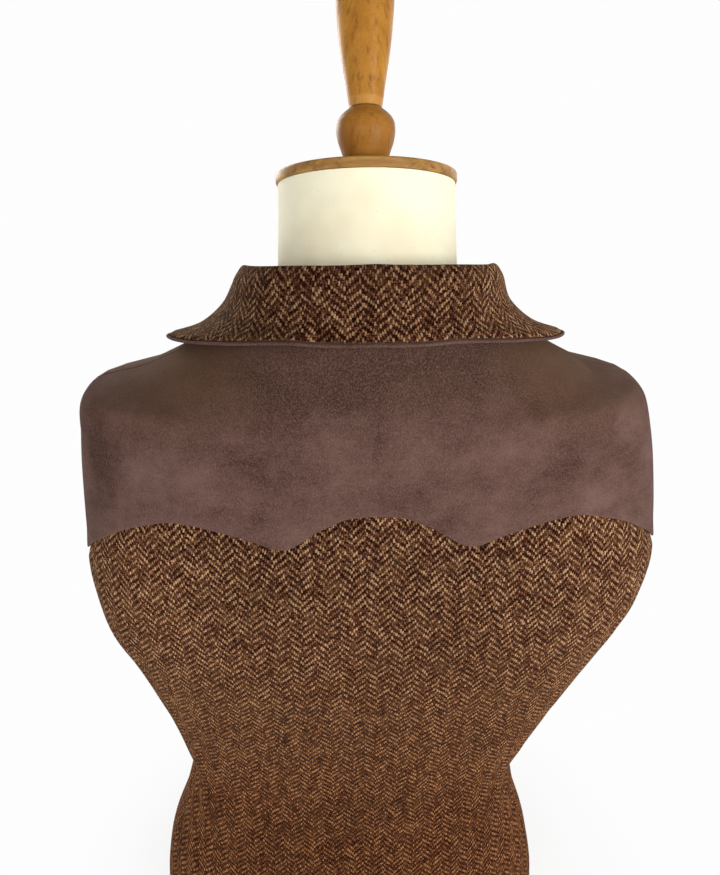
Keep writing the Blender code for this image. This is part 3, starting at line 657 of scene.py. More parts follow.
def fold_lift(angle, height):
    """How far the large folds stand out from the plain worn surface."""
    lift = np.zeros(np.broadcast(angle, height).shape)
    for centre, level, slant, out, width, length in FOLDS:
        leaning = np.degrees(np.abs(angle)) - centre - slant * (height - level)
        lift = lift + out * np.exp(-(leaning / width) ** 2 - ((height - level) / length) ** 2)
    return lift


def lifted(angle, height, lift):
    """A point of the cloth, moved out from the worn surface and over its folds."""
    out = np.asarray(lift + fold_lift(angle, height))[..., None]
    return worn_point(angle, height) + worn_normal(angle, height) * out


def lengths_along(points, axis):
    """Lengths along the lines of a grid of points, from 0 where each line starts."""
    steps = np.linalg.norm(np.diff(points, axis=axis), axis=2)
    start = np.zeros_like(np.take(steps, [0], axis=axis))
    return np.concatenate([start, np.cumsum(steps, axis=axis)], axis=axis)


def girth_table():
    """Lengths round the worn surface from the upright plane through the centre back."""
    angles = np.linspace(-1.1 * math.pi, 1.1 * math.pi, 793)
    heights = np.linspace(0.10, 0.81, 180)
    points = worn_point(angles[None, :], heights[:, None])
    length = lengths_along(points, 1)
    rear = np.abs(angles) < 1.0
    for row in range(len(heights)):
        length[row] -= np.interp(0.0, points[row, rear, 0], length[row, rear])
    return angles, heights, length


GIRTH_ANGLES, GIRTH_HEIGHTS, GIRTH_LENGTHS = girth_table()


def girth(angle, height):
    """The length round the cloth from centre back to a place on it."""
    a = (angle - GIRTH_ANGLES[0]) / (GIRTH_ANGLES[1] - GIRTH_ANGLES[0])
    h = (height - GIRTH_HEIGHTS[0]) / (GIRTH_HEIGHTS[1] - GIRTH_HEIGHTS[0])
    i = np.clip(a.astype(int), 0, len(GIRTH_ANGLES) - 2)
    j = np.clip(h.astype(int), 0, len(GIRTH_HEIGHTS) - 2)
    s, t = a - i, h - j
    low = GIRTH_LENGTHS[j, i] * (1 - s) + GIRTH_LENGTHS[j, i + 1] * s
    high = GIRTH_LENGTHS[j + 1, i] * (1 - s) + GIRTH_LENGTHS[j + 1, i + 1] * s
    return low * (1 - t) + high * t


def crease_lift(creases, around, height):
    """Soft creases on the cloth. A negative depth is a trough."""
    lift = np.zeros(around.shape)
    for centre, level, direction, length, width, depth, bend in creases:
        run = np.array([math.cos(math.radians(direction)), math.sin(math.radians(direction))])
        along = (around - centre) * run[0] + (height - level) * run[1]
        across = -(around - centre) * run[1] + (height - level) * run[0] - bend * along ** 2
        lift += depth * np.exp(-(across / width) ** 2 - (along / length) ** 2)
    return lift


def edge_angle(height, which):
    """Where the back or a front ends at a height, as an angle round from the centre back."""
    degrees = np.where(height <= UNDERARM_HEIGHT, SIDE_SEAM_RULE(height), ARMHOLE_RULE[which](height))
    degrees = np.where(height >= SHOULDER_TIP_HEIGHT, SHOULDER_SEAM_RULE(height), degrees)
    return np.radians(degrees)


def seam_turn(angle, height):
    """Half a seam gap, as an angle at this place."""
    return 0.5 * SEAM_GAP / worn_radius(angle, height)


def shares(count, edge):
    """Even steps from 0 to 1, with a few close ones at both ends, where the cloth turns."""
    close = edge * np.array([0.0, 0.12, 0.35, 0.70, 1.15, 2.2])
    return np.concatenate([close[:-1], np.linspace(close[-1], 1 - close[-1], count), 1 - close[-2::-1]])


def panel_grid(rows, across, low, high, angle_at):
    """Angles and heights over a panel, from its low edge (row 0) to its high one (row 1)."""
    rows = np.asarray(rows)[:, None]
    across = np.asarray(across)[None, :]
    height = low(across) + rows * (PANEL_GUESS - low(across))
    for _ in range(PANEL_ROUNDS):
        angle = angle_at(across, height)
        height = low(across) + rows * (high(across, angle) - low(across))
    return angle_at(across, height), height


def edge_distances(points):
    """How far each place of a grid lies from the grid's low, high, first and last edges."""
    up = lengths_along(points, 0)
    side = lengths_along(points, 1)
    d_up = np.gradient(points, axis=0)
    d_side = np.gradient(points, axis=1)
    lengths = np.linalg.norm(d_up, axis=2) * np.linalg.norm(d_side, axis=2) + 1e-12
    square = np.linalg.norm(np.cross(d_up, d_side), axis=2) / lengths
    return up * square, (up[-1] - up) * square, side * square, (side[:, -1:] - side) * square


def shell(name, middle, out, offset, half, edge, uv, finish):
    """A closed cloth wall about a grid of points, rounded where its edges are turned."""
    part_in = np.clip(edge / half, 0, 1)
    depth = half * np.sqrt(1 - (1 - part_in) ** 2)
    rows, columns = middle.shape[:2]
    rim = np.ones((rows, columns), bool)
    rim[1:-1, 1:-1] = False
    depth = np.where(rim, 0, depth)
    outer = middle + out * (offset + depth)[..., None]
    inner = middle + out * (offset - depth)[..., None]
    near = np.arange(rows * columns).reshape(rows, columns)
    far = near.copy()
    far[1:-1, 1:-1] = rows * columns + np.arange((rows - 2) * (columns - 2)).reshape(rows - 2, columns - 2)
    corners = np.concatenate([outer.reshape(-1, 3), inner[1:-1, 1:-1].reshape(-1, 3)])
    uvs = np.concatenate([uv.reshape(-1, 2), uv[1:-1, 1:-1].reshape(-1, 2)])
    faces = []
    for index, turned in ((near, False), (far, True)):
        square = [index[:-1, :-1], index[:-1, 1:], index[1:, 1:], index[1:, :-1]]
        quads = np.stack(square, axis=-1).reshape(-1, 4)
        faces += (quads[:, ::-1] if turned else quads).tolist()
    return mesh_piece(name, corners, faces, finish, uvs)


def cloth_panel(name, node, angle, height, thickness, base, relief, around, finish):
    """A worn panel: its shell, which rides on the root and stands in for the model's part."""
    plain = lifted(angle, height, base + 0.5 * thickness)
    low, high, first, last = edge_distances(plain)
    edge = np.minimum.reduce([low, high, first, last])
    lift = base + 0.5 * thickness + relief(angle, height, low, high, first, last)
    middle = lifted(angle, height, lift)
    uv = np.stack([around, height], axis=-1)
    out = worn_normal(angle, height)
    offset = np.zeros(angle.shape)
    piece = shell(name, middle, out, offset, 0.5 * thickness, edge, uv, finish)
    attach(piece, "root")
    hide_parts(node)
    return piece


def rise_by(distance, reach):
    """1 at an edge, going softly to 0 at a reach from it."""
    t = np.clip(distance / reach, 0, 1)
    return 1 - t * t * (3 - 2 * t)


def back_angle_at(across, height):
    edge = edge_angle(height, "back_edge")
    return across * (edge - seam_turn(edge, height))


def hem(across):
    return np.full(np.shape(across), HEM_HEIGHT)


def under_back_seam(across, _angle):
    return BACK_SEAM_RULE(np.abs(across)) - SEAM_GAP / 2


def back_relief(angle, height, low, high, first, last):
    """Creases, the turned hem and armholes, and the pull of the seam below the yoke."""
    around = girth(angle, height)
    lift = crease_lift(BACK_CREASES, around, height)
    side = np.minimum(first, last)
    armhole = rise_by(side, TURNED_EDGE) * np.clip((height - UNDERARM_HEIGHT) / ARMHOLE_FADE, 0, 1)
    lift = lift + TURNED_LIFT * armhole + TURNED_LIFT * rise_by(low, HEM_REACH)
    return lift - TWEED_DIP * rise_by(high, DIP_REACH)


tweed = tweed_finish()
back_across = 1 - 2 * shares(BACK_ACROSS, 0.003)
angle, height = panel_grid(shares(BACK_RISE, 0.0026), back_across, hem, under_back_seam, back_angle_at)
cloth_panel("tweed_back", "back_panel", angle, height, TWEED, 0.0, back_relief,
            girth(angle, height), tweed)

# The back yoke: one piece of brown suede over both shoulders, its nap laid this way and that by brushing,
# with light and shade painted over it.
# Its lower edge is cut in points and crests, turned under and sewn to the tweed.
SUEDE_CREASES = (
    (0.168, 0.660, 112, 0.020, 0.0045, -0.0008, 6.0),
    (-0.166, 0.664, 64, 0.025, 0.0014, -0.0005, 0.0),
    (-0.172, 0.668, 62, 0.020, 0.0012, -0.0004, 0.0),
    (-0.184, 0.708, 3, 0.020, 0.0065, -0.0016, 0.0),
    (-0.180, 0.699, 6, 0.016, 0.0040, 0.0006, 0.0),
    (0.008, 0.680, 90, 0.045, 0.0035, 0.0004, 0.0),
    (-0.150, 0.690, 120, 0.022, 0.0060, -0.0009, 0.0),
    (-0.080, 0.700, 160, 0.028, 0.0060, 0.0006, 3.0),
    (0.070, 0.735, 20, 0.030, 0.0050, -0.0007, 2.0),
    (0.045, 0.742, 172, 0.035, 0.0030, -0.0006, 1.0),
    (-0.185, 0.640, 84, 0.030, 0.0060, -0.0007, 0.0),
)
YOKE_RISE = 80
YOKE_REACH = 0.0020
YOKE_LIFT = 0.0006
YOKE_EDGE_REACH = 0.016

# The tones of the suede, from nap lying against the light to nap lying with it, which also carry the
# painted light and shade laid on it
SUEDE_TONES = (
    (0.22, (0.032, 0.0130, 0.0100)),
    (0.38, (0.061, 0.0285, 0.0220)),
    (0.50, (0.099, 0.0515, 0.0415)),
    (0.64, (0.142, 0.0800, 0.0660)),
    (0.80, (0.190, 0.1130, 0.0960)),
)
# Where brushing laid the nap, and where light and shade are painted: round, height, reach round and up, and
# how much lighter it lies.
# Among them are a painted shadow under the collar and painted shade down the centre crease. The wearer's
# left end is painted darker and the right lighter, as the light falls.
BRUSH_AND_PAINTED_LIGHT_MARKS = (
    (0.045, 0.726, 0.036, 0.016, -0.42),
    (0.079, 0.735, 0.022, 0.008, -0.22),
    (0.205, 0.670, 0.020, 0.040, -0.48),
    (0.082, 0.674, 0.016, 0.018, -0.26),
    (0.158, 0.665, 0.030, 0.018, 0.30),
    (0.122, 0.659, 0.028, 0.016, 0.30),
    (0.100, 0.700, 0.030, 0.010, 0.14),
    (-0.064, 0.738, 0.013, 0.015, -0.50),
    (-0.020, 0.744, 0.050, 0.007, -0.45),
    (0.018, 0.725, 0.020, 0.014, -0.30),
    (-0.094, 0.727, 0.014, 0.006, -0.25),
    (-0.108, 0.705, 0.009, 0.008, -0.28),
    (-0.135, 0.668, 0.018, 0.007, -0.24),
    (-0.088, 0.684, 0.036, 0.016, 0.24),
    (-0.164, 0.645, 0.026, 0.016, 0.46),
    (-0.190, 0.690, 0.018, 0.026, 0.38),
    (0.090, 0.629, 0.060, 0.010, 0.14),
    (0.001, 0.700, 0.0022, 0.038, -0.28),
    (-0.002, 0.655, 0.045, 0.016, -0.12),
)
BRUSH_WANDER = 0.026


def suede_finish():
    """Brown suede: a short dense nap, lighter and darker from its brushing. Light and shade are painted on
    it too: a painted shadow under the collar, painted shade across the top and down the centre crease, and
    painted light and sheen at the shoulder ends.
    """
    steady = {"Sheen Weight": 0.05, "Sheen Roughness": 0.42, "Sheen Tint": (0.85, 0.62, 0.48, 1),
              "Specular IOR Level": 0.05}
    material, place, cloth = new_finish("brown_suede", steady)
    broad = place.cloud(14.0, 2.0, 0.5, 0.4)
    middle = place.cloud(45.0, 3.0, 0.6, 0.3)
    strokes = place.mapped(scale=(60, 60, 150), turn=(0.3, 0.5, 0.2)).cloud(1.0, 3.0, 0.6, 0.6)
    nap = place.mapped(scale=(1.0, 1.0, 0.6), turn=(0.0, 0.4, 0.0)).cloud(1250.0, 3.0, 0.65)
    hair = place.cloud(2600.0, 2.0, 0.6)
    nap_and_painted_light = broad * 0.42 + middle * 0.34 + strokes * 0.24
    wander = cloth.cloud(75.0, 3.0, 0.6, output="Color")
    strayed = cloth.node("VectorMath", {"operation": "MULTIPLY_ADD"},
                         {0: wander, 1: (BRUSH_WANDER, BRUSH_WANDER, 0.0), 2: cloth})
    # Each mark lightens or darkens the nap: brush marks and painted light and shade alike.
    for centre, level, reach, rise, lighter in BRUSH_AND_PAINTED_LIGHT_MARKS:
        move = (-(centre + BRUSH_WANDER / 2) / reach, -(level + BRUSH_WANDER / 2) / rise, 0.0)
        mark = strayed.mapped(scale=(1 / reach, 1 / rise, 0.0), move=move)
        away = mark.node("VectorMath", {"operation": "LENGTH"}, {0: mark}, "Value")
        nap_and_painted_light = nap_and_painted_light + away.ease(0.1, 1.25, 0.35 * lighter, 0.0)
    # The top of the yoke, where it turns up, is painted darker: painted shade. Towards the shoulder ends
    # that top is painted lighter and warmer: a painted sheen.
    upper = cloth.parts()[1].ease(0.680, 0.735)
    outer = abs(cloth.parts()[0]).ease(0.10, 0.20)
    colour = (nap_and_painted_light - upper * 0.15 + upper * outer * 0.24).ramp(SUEDE_TONES)
    # Painted shade across the top of the yoke.
    colour = (upper * 0.50).tint(colour, (0.052, 0.026, 0.014))
    colour = (nap.ease(0.38, 0.72) * 0.50).tint(colour, (0.215, 0.134, 0.110))
    colour = (hair.ease(0.44, 0.70) * 0.70).tint(colour, (0.030, 0.012, 0.0090))
    # Painted sheen: the top toward the shoulder ends is painted lighter and olive.
    colour = (abs(cloth.parts()[0]).ease(0.06, 0.16) * upper * 0.50).tint(colour, (0.150, 0.078, 0.038))
    relief = nap * 0.9 + hair * 0.5 + middle * 0.4
    feed(material, {"Base Color": colour, "Roughness": nap_and_painted_light.ease(0.4, 0.62, 0.98, 0.90),
                    "Normal": relief.bump(0.00028)})
    return material


def over_back_seam(across):
    return BACK_SEAM_RULE(np.abs(across)) - YOKE_REACH


def neck_edge(_across, angle):
    """The upper edge of the yokes. Past the closed front's middle it stays level."""
    return neck_seam_height(angle)


def yoke_relief(angle, height, low, high, first, last):
    """Creases, the turned edges at the armholes, and the turned lower edge over the tweed."""
    lift = crease_lift(SUEDE_CREASES, girth(angle, height), height)
    side = np.minimum(first, last)
    armhole = rise_by(side, TURNED_EDGE) * np.clip((SHOULDER_TIP_HEIGHT - height) / ARMHOLE_FADE, 0, 1)
    return lift + TURNED_LIFT * armhole + YOKE_LIFT * rise_by(low, YOKE_EDGE_REACH)


suede = suede_finish()
angle, height = panel_grid(shares(YOKE_RISE, 0.008), back_across, over_back_seam, neck_edge, back_angle_at)
cloth_panel("suede_back_yoke", "back_yoke", angle, height, SUEDE, 0.0, yoke_relief,
            girth(angle, height), suede)

# The fronts: tweed below and a pointed suede yoke above, on each side, closed left over right.
# The edges are turned and the tweed's stripes run upright from the closed front.
FRONT_OVERLAP = 0.014
OVERLAP_GAP = 0.0006
OVERLAP_FLAT = 0.042
OVERLAP_FADE = 0.024
FRONT_SEAM = (
    (0.00, 0.618), (0.20, 0.610), (0.45, 0.588), (0.52, 0.585),
    (0.60, 0.589), (0.80, 0.606), (1.00, 0.610),
)
FRONT_CREASES = (
    (0.060, 0.330, 150, 0.050, 0.0070, -0.0009, 3.0),
    (0.105, 0.385, 118, 0.055, 0.0080, -0.0009, -2.0),
    (0.125, 0.300, 70, 0.050, 0.0080, 0.0008, 2.0),
    (0.082, 0.262, 24, 0.050, 0.0070, -0.0008, -3.0),
    (0.150, 0.470, 130, 0.040, 0.0070, -0.0007, 0.0),
    (0.070, 0.200, 90, 0.060, 0.0120, 0.0008, 1.0),
    (0.130, 0.180, 95, 0.055, 0.0120, -0.0008, 0.0),
    (0.045, 0.470, 78, 0.060, 0.0100, 0.0005, 0.0),
)
FRONT_ACROSS = 88
FRONT_RISE = 165
FRONT_YOKE_RISE = 56
FRONT_SHIFT = 0.006
CALM_REACH = 0.055
FRONT_SEAM_RULE = rules_of(YOKE_SEAM_COLUMNS, FRONT_SEAM)["height"]


def front_angle_at(across, height):
    edge = edge_angle(height, "front_edge")
    edge = edge + seam_turn(edge, height)
    centre = math.pi + FRONT_OVERLAP / worn_radius(math.pi, height)
    return centre + across * (edge - centre)


def overlap_lift(angle, height):
    """How far the upper front stands out, so that it lies over the lower one."""
    from_edge = (math.pi - angle) * worn_radius(angle, height) + FRONT_OVERLAP
    fade = np.clip(1 - (from_edge - OVERLAP_FLAT) / OVERLAP_FADE, 0, 1)
    return (TWEED + OVERLAP_GAP) * fade * fade * (3 - 2 * fade)


def front_relief(creases, shift, seam):
    """Relief for one front, whose creases lie a little off those of the other."""
    def relief(angle, height, low, high, first, last):
        around = girth(np.abs(angle), height)
        from_front = girth(np.full(angle.shape, math.pi), height) - around
        lift = crease_lift(creases, from_front + shift, height - 0.6 * shift)
        armhole = rise_by(first, TURNED_EDGE) * np.clip((height - UNDERARM_HEIGHT) / ARMHOLE_FADE, 0, 1)
        armhole = armhole * np.clip((SHOULDER_TIP_HEIGHT - height) / ARMHOLE_FADE, 0, 1)
        calm = 1 - rise_by(last, CALM_REACH)
        at_seam = rise_by(high, DIP_REACH) if seam < 0 else rise_by(low, YOKE_EDGE_REACH)
        return lift * calm + TURNED_LIFT * armhole + seam * at_seam

    return relief


def under_front_seam(across, _angle):
    return FRONT_SEAM_RULE(across) - SEAM_GAP / 2


def over_front_seam(across):
    return FRONT_SEAM_RULE(across) - YOKE_REACH


def front_piece(name, node, side, rows, low, high, thickness, relief, finish):
    """One piece of a front: of the upper, left one (side 1) or of the right one (side -1)."""
    angle, height = panel_grid(rows, front_across, low, high, front_angle_at)
    base = overlap_lift(angle, height) if side > 0 else 0.0 * angle
    around = side * (girth(angle, height) - girth(np.full(angle.shape, math.pi), height))
    cloth_panel(name, node, side * angle, height, thickness, base, relief, around, finish)


front_across = 1 - shares(FRONT_ACROSS, 0.006)
tweed_rows = shares(FRONT_RISE, 0.0026)
suede_rows = shares(FRONT_YOKE_RISE, 0.009)
for side, word in ((1, "left"), (-1, "right")):
    tweed_relief = front_relief(FRONT_CREASES, FRONT_SHIFT * side, -TWEED_DIP)
    front_piece("tweed_front_" + word, "front_panel_" + word, side, tweed_rows,
                hem, under_front_seam, TWEED, tweed_relief, tweed)
    suede_relief = front_relief((), FRONT_SHIFT * side, YOKE_LIFT)
    front_piece("suede_front_yoke_" + word, "front_yoke_" + word, side, suede_rows,
                over_front_seam, neck_edge, SUEDE, suede_relief, suede)

# The collar: a tweed top collar folded down over a suede under collar, from point to point.
# The suede is cut a little larger, so a narrow lip of it shows all along the outer edge.
COLLAR_LAYER = 0.0016
COLLAR_COLUMNS = ("angle", "seam_height", "fold_out", "fold_height",
                  "knee_height", "knee_lift", "hollow_lift", "edge_height", "edge_lift")
COLLAR = (
    (0.0, 0.7800, 0.0055, 0.8080, 0.7780, 0.0110, 0.0105, 0.7595, 0.0115),
    (30.0, 0.7795, 0.0055, 0.8055, 0.7765, 0.0105, 0.0095, 0.7580, 0.0115),
    (60.0, 0.7780, 0.0040, 0.7985, 0.7700, 0.0085, 0.0065, 0.7460, 0.0105),
    (90.0, 0.7740, 0.0030, 0.7890, 0.7565, 0.0075, 0.0070, 0.7260, 0.0135),
    (120.0, 0.7500, 0.0060, 0.7710, 0.7360, 0.0100, 0.0080, 0.7100, 0.0095),
    (150.0, 0.7200, 0.0070, 0.7450, 0.7090, 0.0110, 0.0090, 0.6720, 0.0095),
    (176.0, 0.7020, 0.0070, 0.7260, 0.6900, 0.0115, 0.0100, 0.6420, 0.0105),
)
FOLD_RADIUS = 0.0042
COLLAR_SEAM_GAP = 0.0011
COLLAR_SPANS = (5, 4, 8, 8, 9, 7, 7)
COLLAR_STATIONS = 260
LIP_STEPS = np.array([0.0004, 0.0009, 0.0014, 0.0019, 0.0023, 0.0026, 0.0028, 0.0029, 0.0030])
LIP_START = 0.0002
LIP_RISE = 0.0010
LIP_SWELL = 0.0002
COLLAR_RULE = rules_of(COLLAR_COLUMNS, COLLAR)


def collar_line(angle):
    """The collar's middle line at one station: up its stand, over its fold, down its fall."""
    degrees = abs(math.degrees(angle))
    at = {name: float(rule(degrees)) for name, rule in COLLAR_RULE.items()}
    seam_height = at["seam_height"]
    fold_radius = float(worn_radius(angle, seam_height)) + 0.5 * SUEDE + at["fold_out"]
    upward = worn_point(angle, seam_height + 1e-4) - worn_point(angle, seam_height - 1e-4)
    upward /= np.linalg.norm(upward)
    seam = lifted(angle, seam_height, 0.5 * SUEDE) + upward * COLLAR_SEAM_GAP
    rise = at["fold_height"] - seam_height
    points = [
        seam,
        seam + upward * 0.30 * rise,
        on_ring(angle, fold_radius - FOLD_RADIUS, at["fold_height"] - 1.1 * FOLD_RADIUS),
        on_ring(angle, fold_radius, at["fold_height"]),
        on_ring(angle, fold_radius + FOLD_RADIUS, at["fold_height"] - 1.1 * FOLD_RADIUS),
        lifted(angle, at["knee_height"], at["knee_lift"]),
        lifted(angle, 0.5 * (at["knee_height"] + at["edge_height"]), at["hollow_lift"]),
        lifted(angle, at["edge_height"], at["edge_lift"]),
    ]
    return smooth_path(points, COLLAR_SPANS)


def collar_map(surface):
    """The collar's cloth map: along the fold from the centre back, and across it from the fold."""
    along = lengths_along(surface, 0)
    along = along - along[len(surface) // 2]
    fold = sum(COLLAR_SPANS[:3])
    along = 0.5 * along + 0.5 * along[:, fold:fold + 1]
    across = lengths_along(surface, 1)
    across = across[:, fold:fold + 1] - across
    return np.stack([along, across], axis=-1)


def normals_of(surface):
    normal = np.cross(np.gradient(surface, axis=1), np.gradient(surface, axis=0))
    return normal / np.linalg.norm(normal, axis=-1, keepdims=True)


def collar_piece(name, node, surface, out, offset, half, finish):
    low, high, first, last = edge_distances(surface)
    edge = np.minimum.reduce([low, high, first, last])
    uv = collar_map(surface[:, :sum(COLLAR_SPANS) + 1])
    extra = surface.shape[1] - uv.shape[1]
    if extra:
        tail = uv[:, -1:] + np.stack([np.zeros(extra), -0.0005 * np.arange(1, extra + 1)], axis=-1)[None]
        uv = np.concatenate([uv, tail], axis=1)
    piece = shell(name, surface, out, offset, half, edge, uv, finish)
    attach(piece, "root")
    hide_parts(node)
    return piece


def build_collar():
    last = math.radians(COLLAR[-1][0])
    share = shares(COLLAR_STATIONS, 0.0012)
    surface = np.array([collar_line(a) for a in last * (1 - 2 * share)])
    out = normals_of(surface)
    half = 0.5 * COLLAR_LAYER
    gap = 0.5 * SEAM_GAP
    collar_piece("tweed_collar", "collar_top", surface, out,
                 np.full(surface.shape[:2], gap + half), np.full(surface.shape[:2], half), tweed)
    down = surface[:, -1] - surface[:, -2]
    down /= np.linalg.norm(down, axis=-1, keepdims=True)
    lip = surface[:, -1:] + down[:, None] * LIP_STEPS[None, :, None]
    longer = np.concatenate([surface, lip], axis=1)
    longer_out = np.concatenate([out, np.repeat(out[:, -1:], len(LIP_STEPS), axis=1)], axis=1)
    offset = np.full(longer.shape[:2], -gap - half)
    rising = np.clip((LIP_STEPS - LIP_START) / LIP_RISE, 0, 1)
    offset[:, -len(LIP_STEPS):] = (-gap - half) * (1 - rising * rising * (3 - 2 * rising))
    thick = np.full(longer.shape[:2], half)
    thick[:, -len(LIP_STEPS):] = half + LIP_SWELL * rising
    collar_piece("suede_under_collar", "collar_under", longer, longer_out, offset, thick, suede)


build_collar()

# The buttons: five of dark horn, four holes each, turned with a sunk middle and a rounded rim.
# Each is sewn through the upper front with brown thread and stands off the cloth on its shank.
BUTTON_COUNT = 5
TOP_BUTTON_HEIGHT = 0.620
LOW_BUTTON_HEIGHT = 0.180
BUTTON_RADIUS = 0.0105
BUTTON_THICKNESS = 0.0032
BUTTON_SEAT = 0.0008
BUTTON_TURN = 0.35
HOLE_RADIUS = 0.00095
HOLE_OUT = 0.0021


def horn_finish():
    """Polished dark horn: brown with lighter streaks through it."""
    steady = {"Roughness": 0.36, "Coat Roughness": 0.22, "Specular IOR Level": 0.35}
    material, place, _ = new_finish("dark_horn", steady)
    streaks = place.mapped(scale=(90, 90, 420), turn=(0.2, 0.6, 0.1)).cloud(1.0, 3.0, 0.55, 1.4)
    clouds = place.cloud(120.0, 3.0, 0.6)
    colour = streaks.ease(0.42, 0.70).tint((0.020, 0.010, 0.006), (0.120, 0.056, 0.022))
    colour = (clouds.ease(0.55, 0.8) * 0.5).tint(colour, (0.19, 0.11, 0.055))
    feed(material, {"Base Color": colour, "Coat Weight": clouds.pick(0.22, 0.12),
                    "Normal": streaks.bump(0.00003)})
    return material


def front_place(height, lift):
    """A frame on the closed front, whose Z points out of the cloth."""
    spot = Vector(lifted(math.pi, height, lift))
    out = Vector(worn_normal(math.pi, height))
    return Matrix.Translation(spot) @ out.to_track_quat("Z", "Y").to_matrix().to_4x4()


def button_mesh():
    """One button about its own axis: turned, then drilled with four holes."""
    rim, radius = BUTTON_THICKNESS, BUTTON_RADIUS
    profile = [(0.0, 0.0), (0.0, 0.80 * radius), (0.10 * rim, 0.90 * radius), (0.28 * rim, 0.975 * radius),
               (0.45 * rim, radius), (0.70 * rim, 0.995 * radius), (0.86 * rim, 0.965 * radius),
               (0.96 * rim, 0.91 * radius), (rim, 0.86 * radius), (0.97 * rim, 0.80 * radius),
               (0.88 * rim, 0.745 * radius), (0.76 * rim, 0.69 * radius), (0.69 * rim, 0.64 * radius),
               (0.66 * rim, 0.58 * radius), (0.64 * rim, 0.0)]
    disc = ring_piece("button_blank", lathe_rings(profile, Matrix.Identity(4)), horn, 50.0)
    for k in range(4):
        turn = math.radians(45 + 90 * k)
        drill = bpy.data.meshes.new("drill")
        made = bmesh.new()
        spot = Matrix.Translation((HOLE_OUT * math.cos(turn), HOLE_OUT * math.sin(turn), 0.5 * rim))
        bmesh.ops.create_cone(made, cap_ends=True, segments=20, radius1=HOLE_RADIUS, radius2=HOLE_RADIUS,
                              depth=3 * rim, matrix=spot)
        made.to_mesh(drill)
        made.free()
        cutter = bpy.data.objects.new("drill", drill)
        bpy.context.scene.collection.objects.link(cutter)
        cut = disc.modifiers.new("hole", "BOOLEAN")
        cut.object = cutter
        cut.operation = "DIFFERENCE"
        mesh = bpy.data.meshes.new_from_object(disc.evaluated_get(bpy.context.evaluated_depsgraph_get()))
        disc.modifiers.clear()
        disc.data = mesh
        bpy.data.objects.remove(cutter)
    mesh = disc.data
    bpy.data.objects.remove(disc)
    return mesh


horn = horn_finish()
blank = button_mesh()
button_lift = 2 * TWEED + OVERLAP_GAP + BUTTON_SEAT
button_levels = np.linspace(TOP_BUTTON_HEIGHT, LOW_BUTTON_HEIGHT, BUTTON_COUNT)
for k, level in enumerate(button_levels):
    mesh = blank.copy()
    mesh.transform(front_place(level, button_lift) @ Matrix.Rotation(BUTTON_TURN * k, 4, "Z"))
    button = bpy.data.objects.new("horn_button_%d" % (k + 1), mesh)
    bpy.context.scene.collection.objects.link(button)
    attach(button, "root")
    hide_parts("button_%d" % (k + 1))

# The sewing: dark brown silk twist, in small stitches along the edge of the closed front, worked
# close together round each buttonhole, and passed through the buttons' holes and down their shanks.
EDGE_STITCH_IN = 0.0055
EDGE_STITCH_STEP = 0.0056
EDGE_STITCH_ENDS = ((HEM_HEIGHT + 0.010, 0.604), (0.634, 0.690))
HOLE_START = -0.0035
HOLE_END = 0.0165
HOLE_OPEN = 0.0014
HOLE_STITCH_STEP = 0.0006
STRANDS = 3
STRAND_SPREAD = 0.00040
STRAND_HEIGHT = 0.70 * BUTTON_THICKNESS
SHANK_RADIUS = 0.0010
# Each kind of stitch: its length, its thread's radius, and how uneven it is
STITCHES = {
    "edge": (0.0030, 0.00034, 0.10),
    "buttonhole": (0.0020, 0.00033, 0.14),
    "button": (0.0042, 0.00034, 0.04),
    "shank": (0.0022, 0.00045, 0.04),
}
STITCH_SEED = 7


def thread_finish():
    """Silk twist: dark brown, with a soft shine and its plies lightly showing."""
    steady = {"Specular IOR Level": 0.3, "Sheen Weight": 0.1}
    material, place, _ = new_finish("silk_twist", steady)
    plies = place.mapped(scale=(900, 900, 2600), turn=(0.5, 0.6, 0.2)).cloud(1.0, 2.0, 0.6)
    colour = plies.ease(0.38, 0.66).tint((0.040, 0.016, 0.010), (0.120, 0.055, 0.032))
    feed(material, {"Base Color": colour, "Roughness": plies.pick(0.50, 0.70),
                    "Normal": plies.bump(0.00006)})
    return material


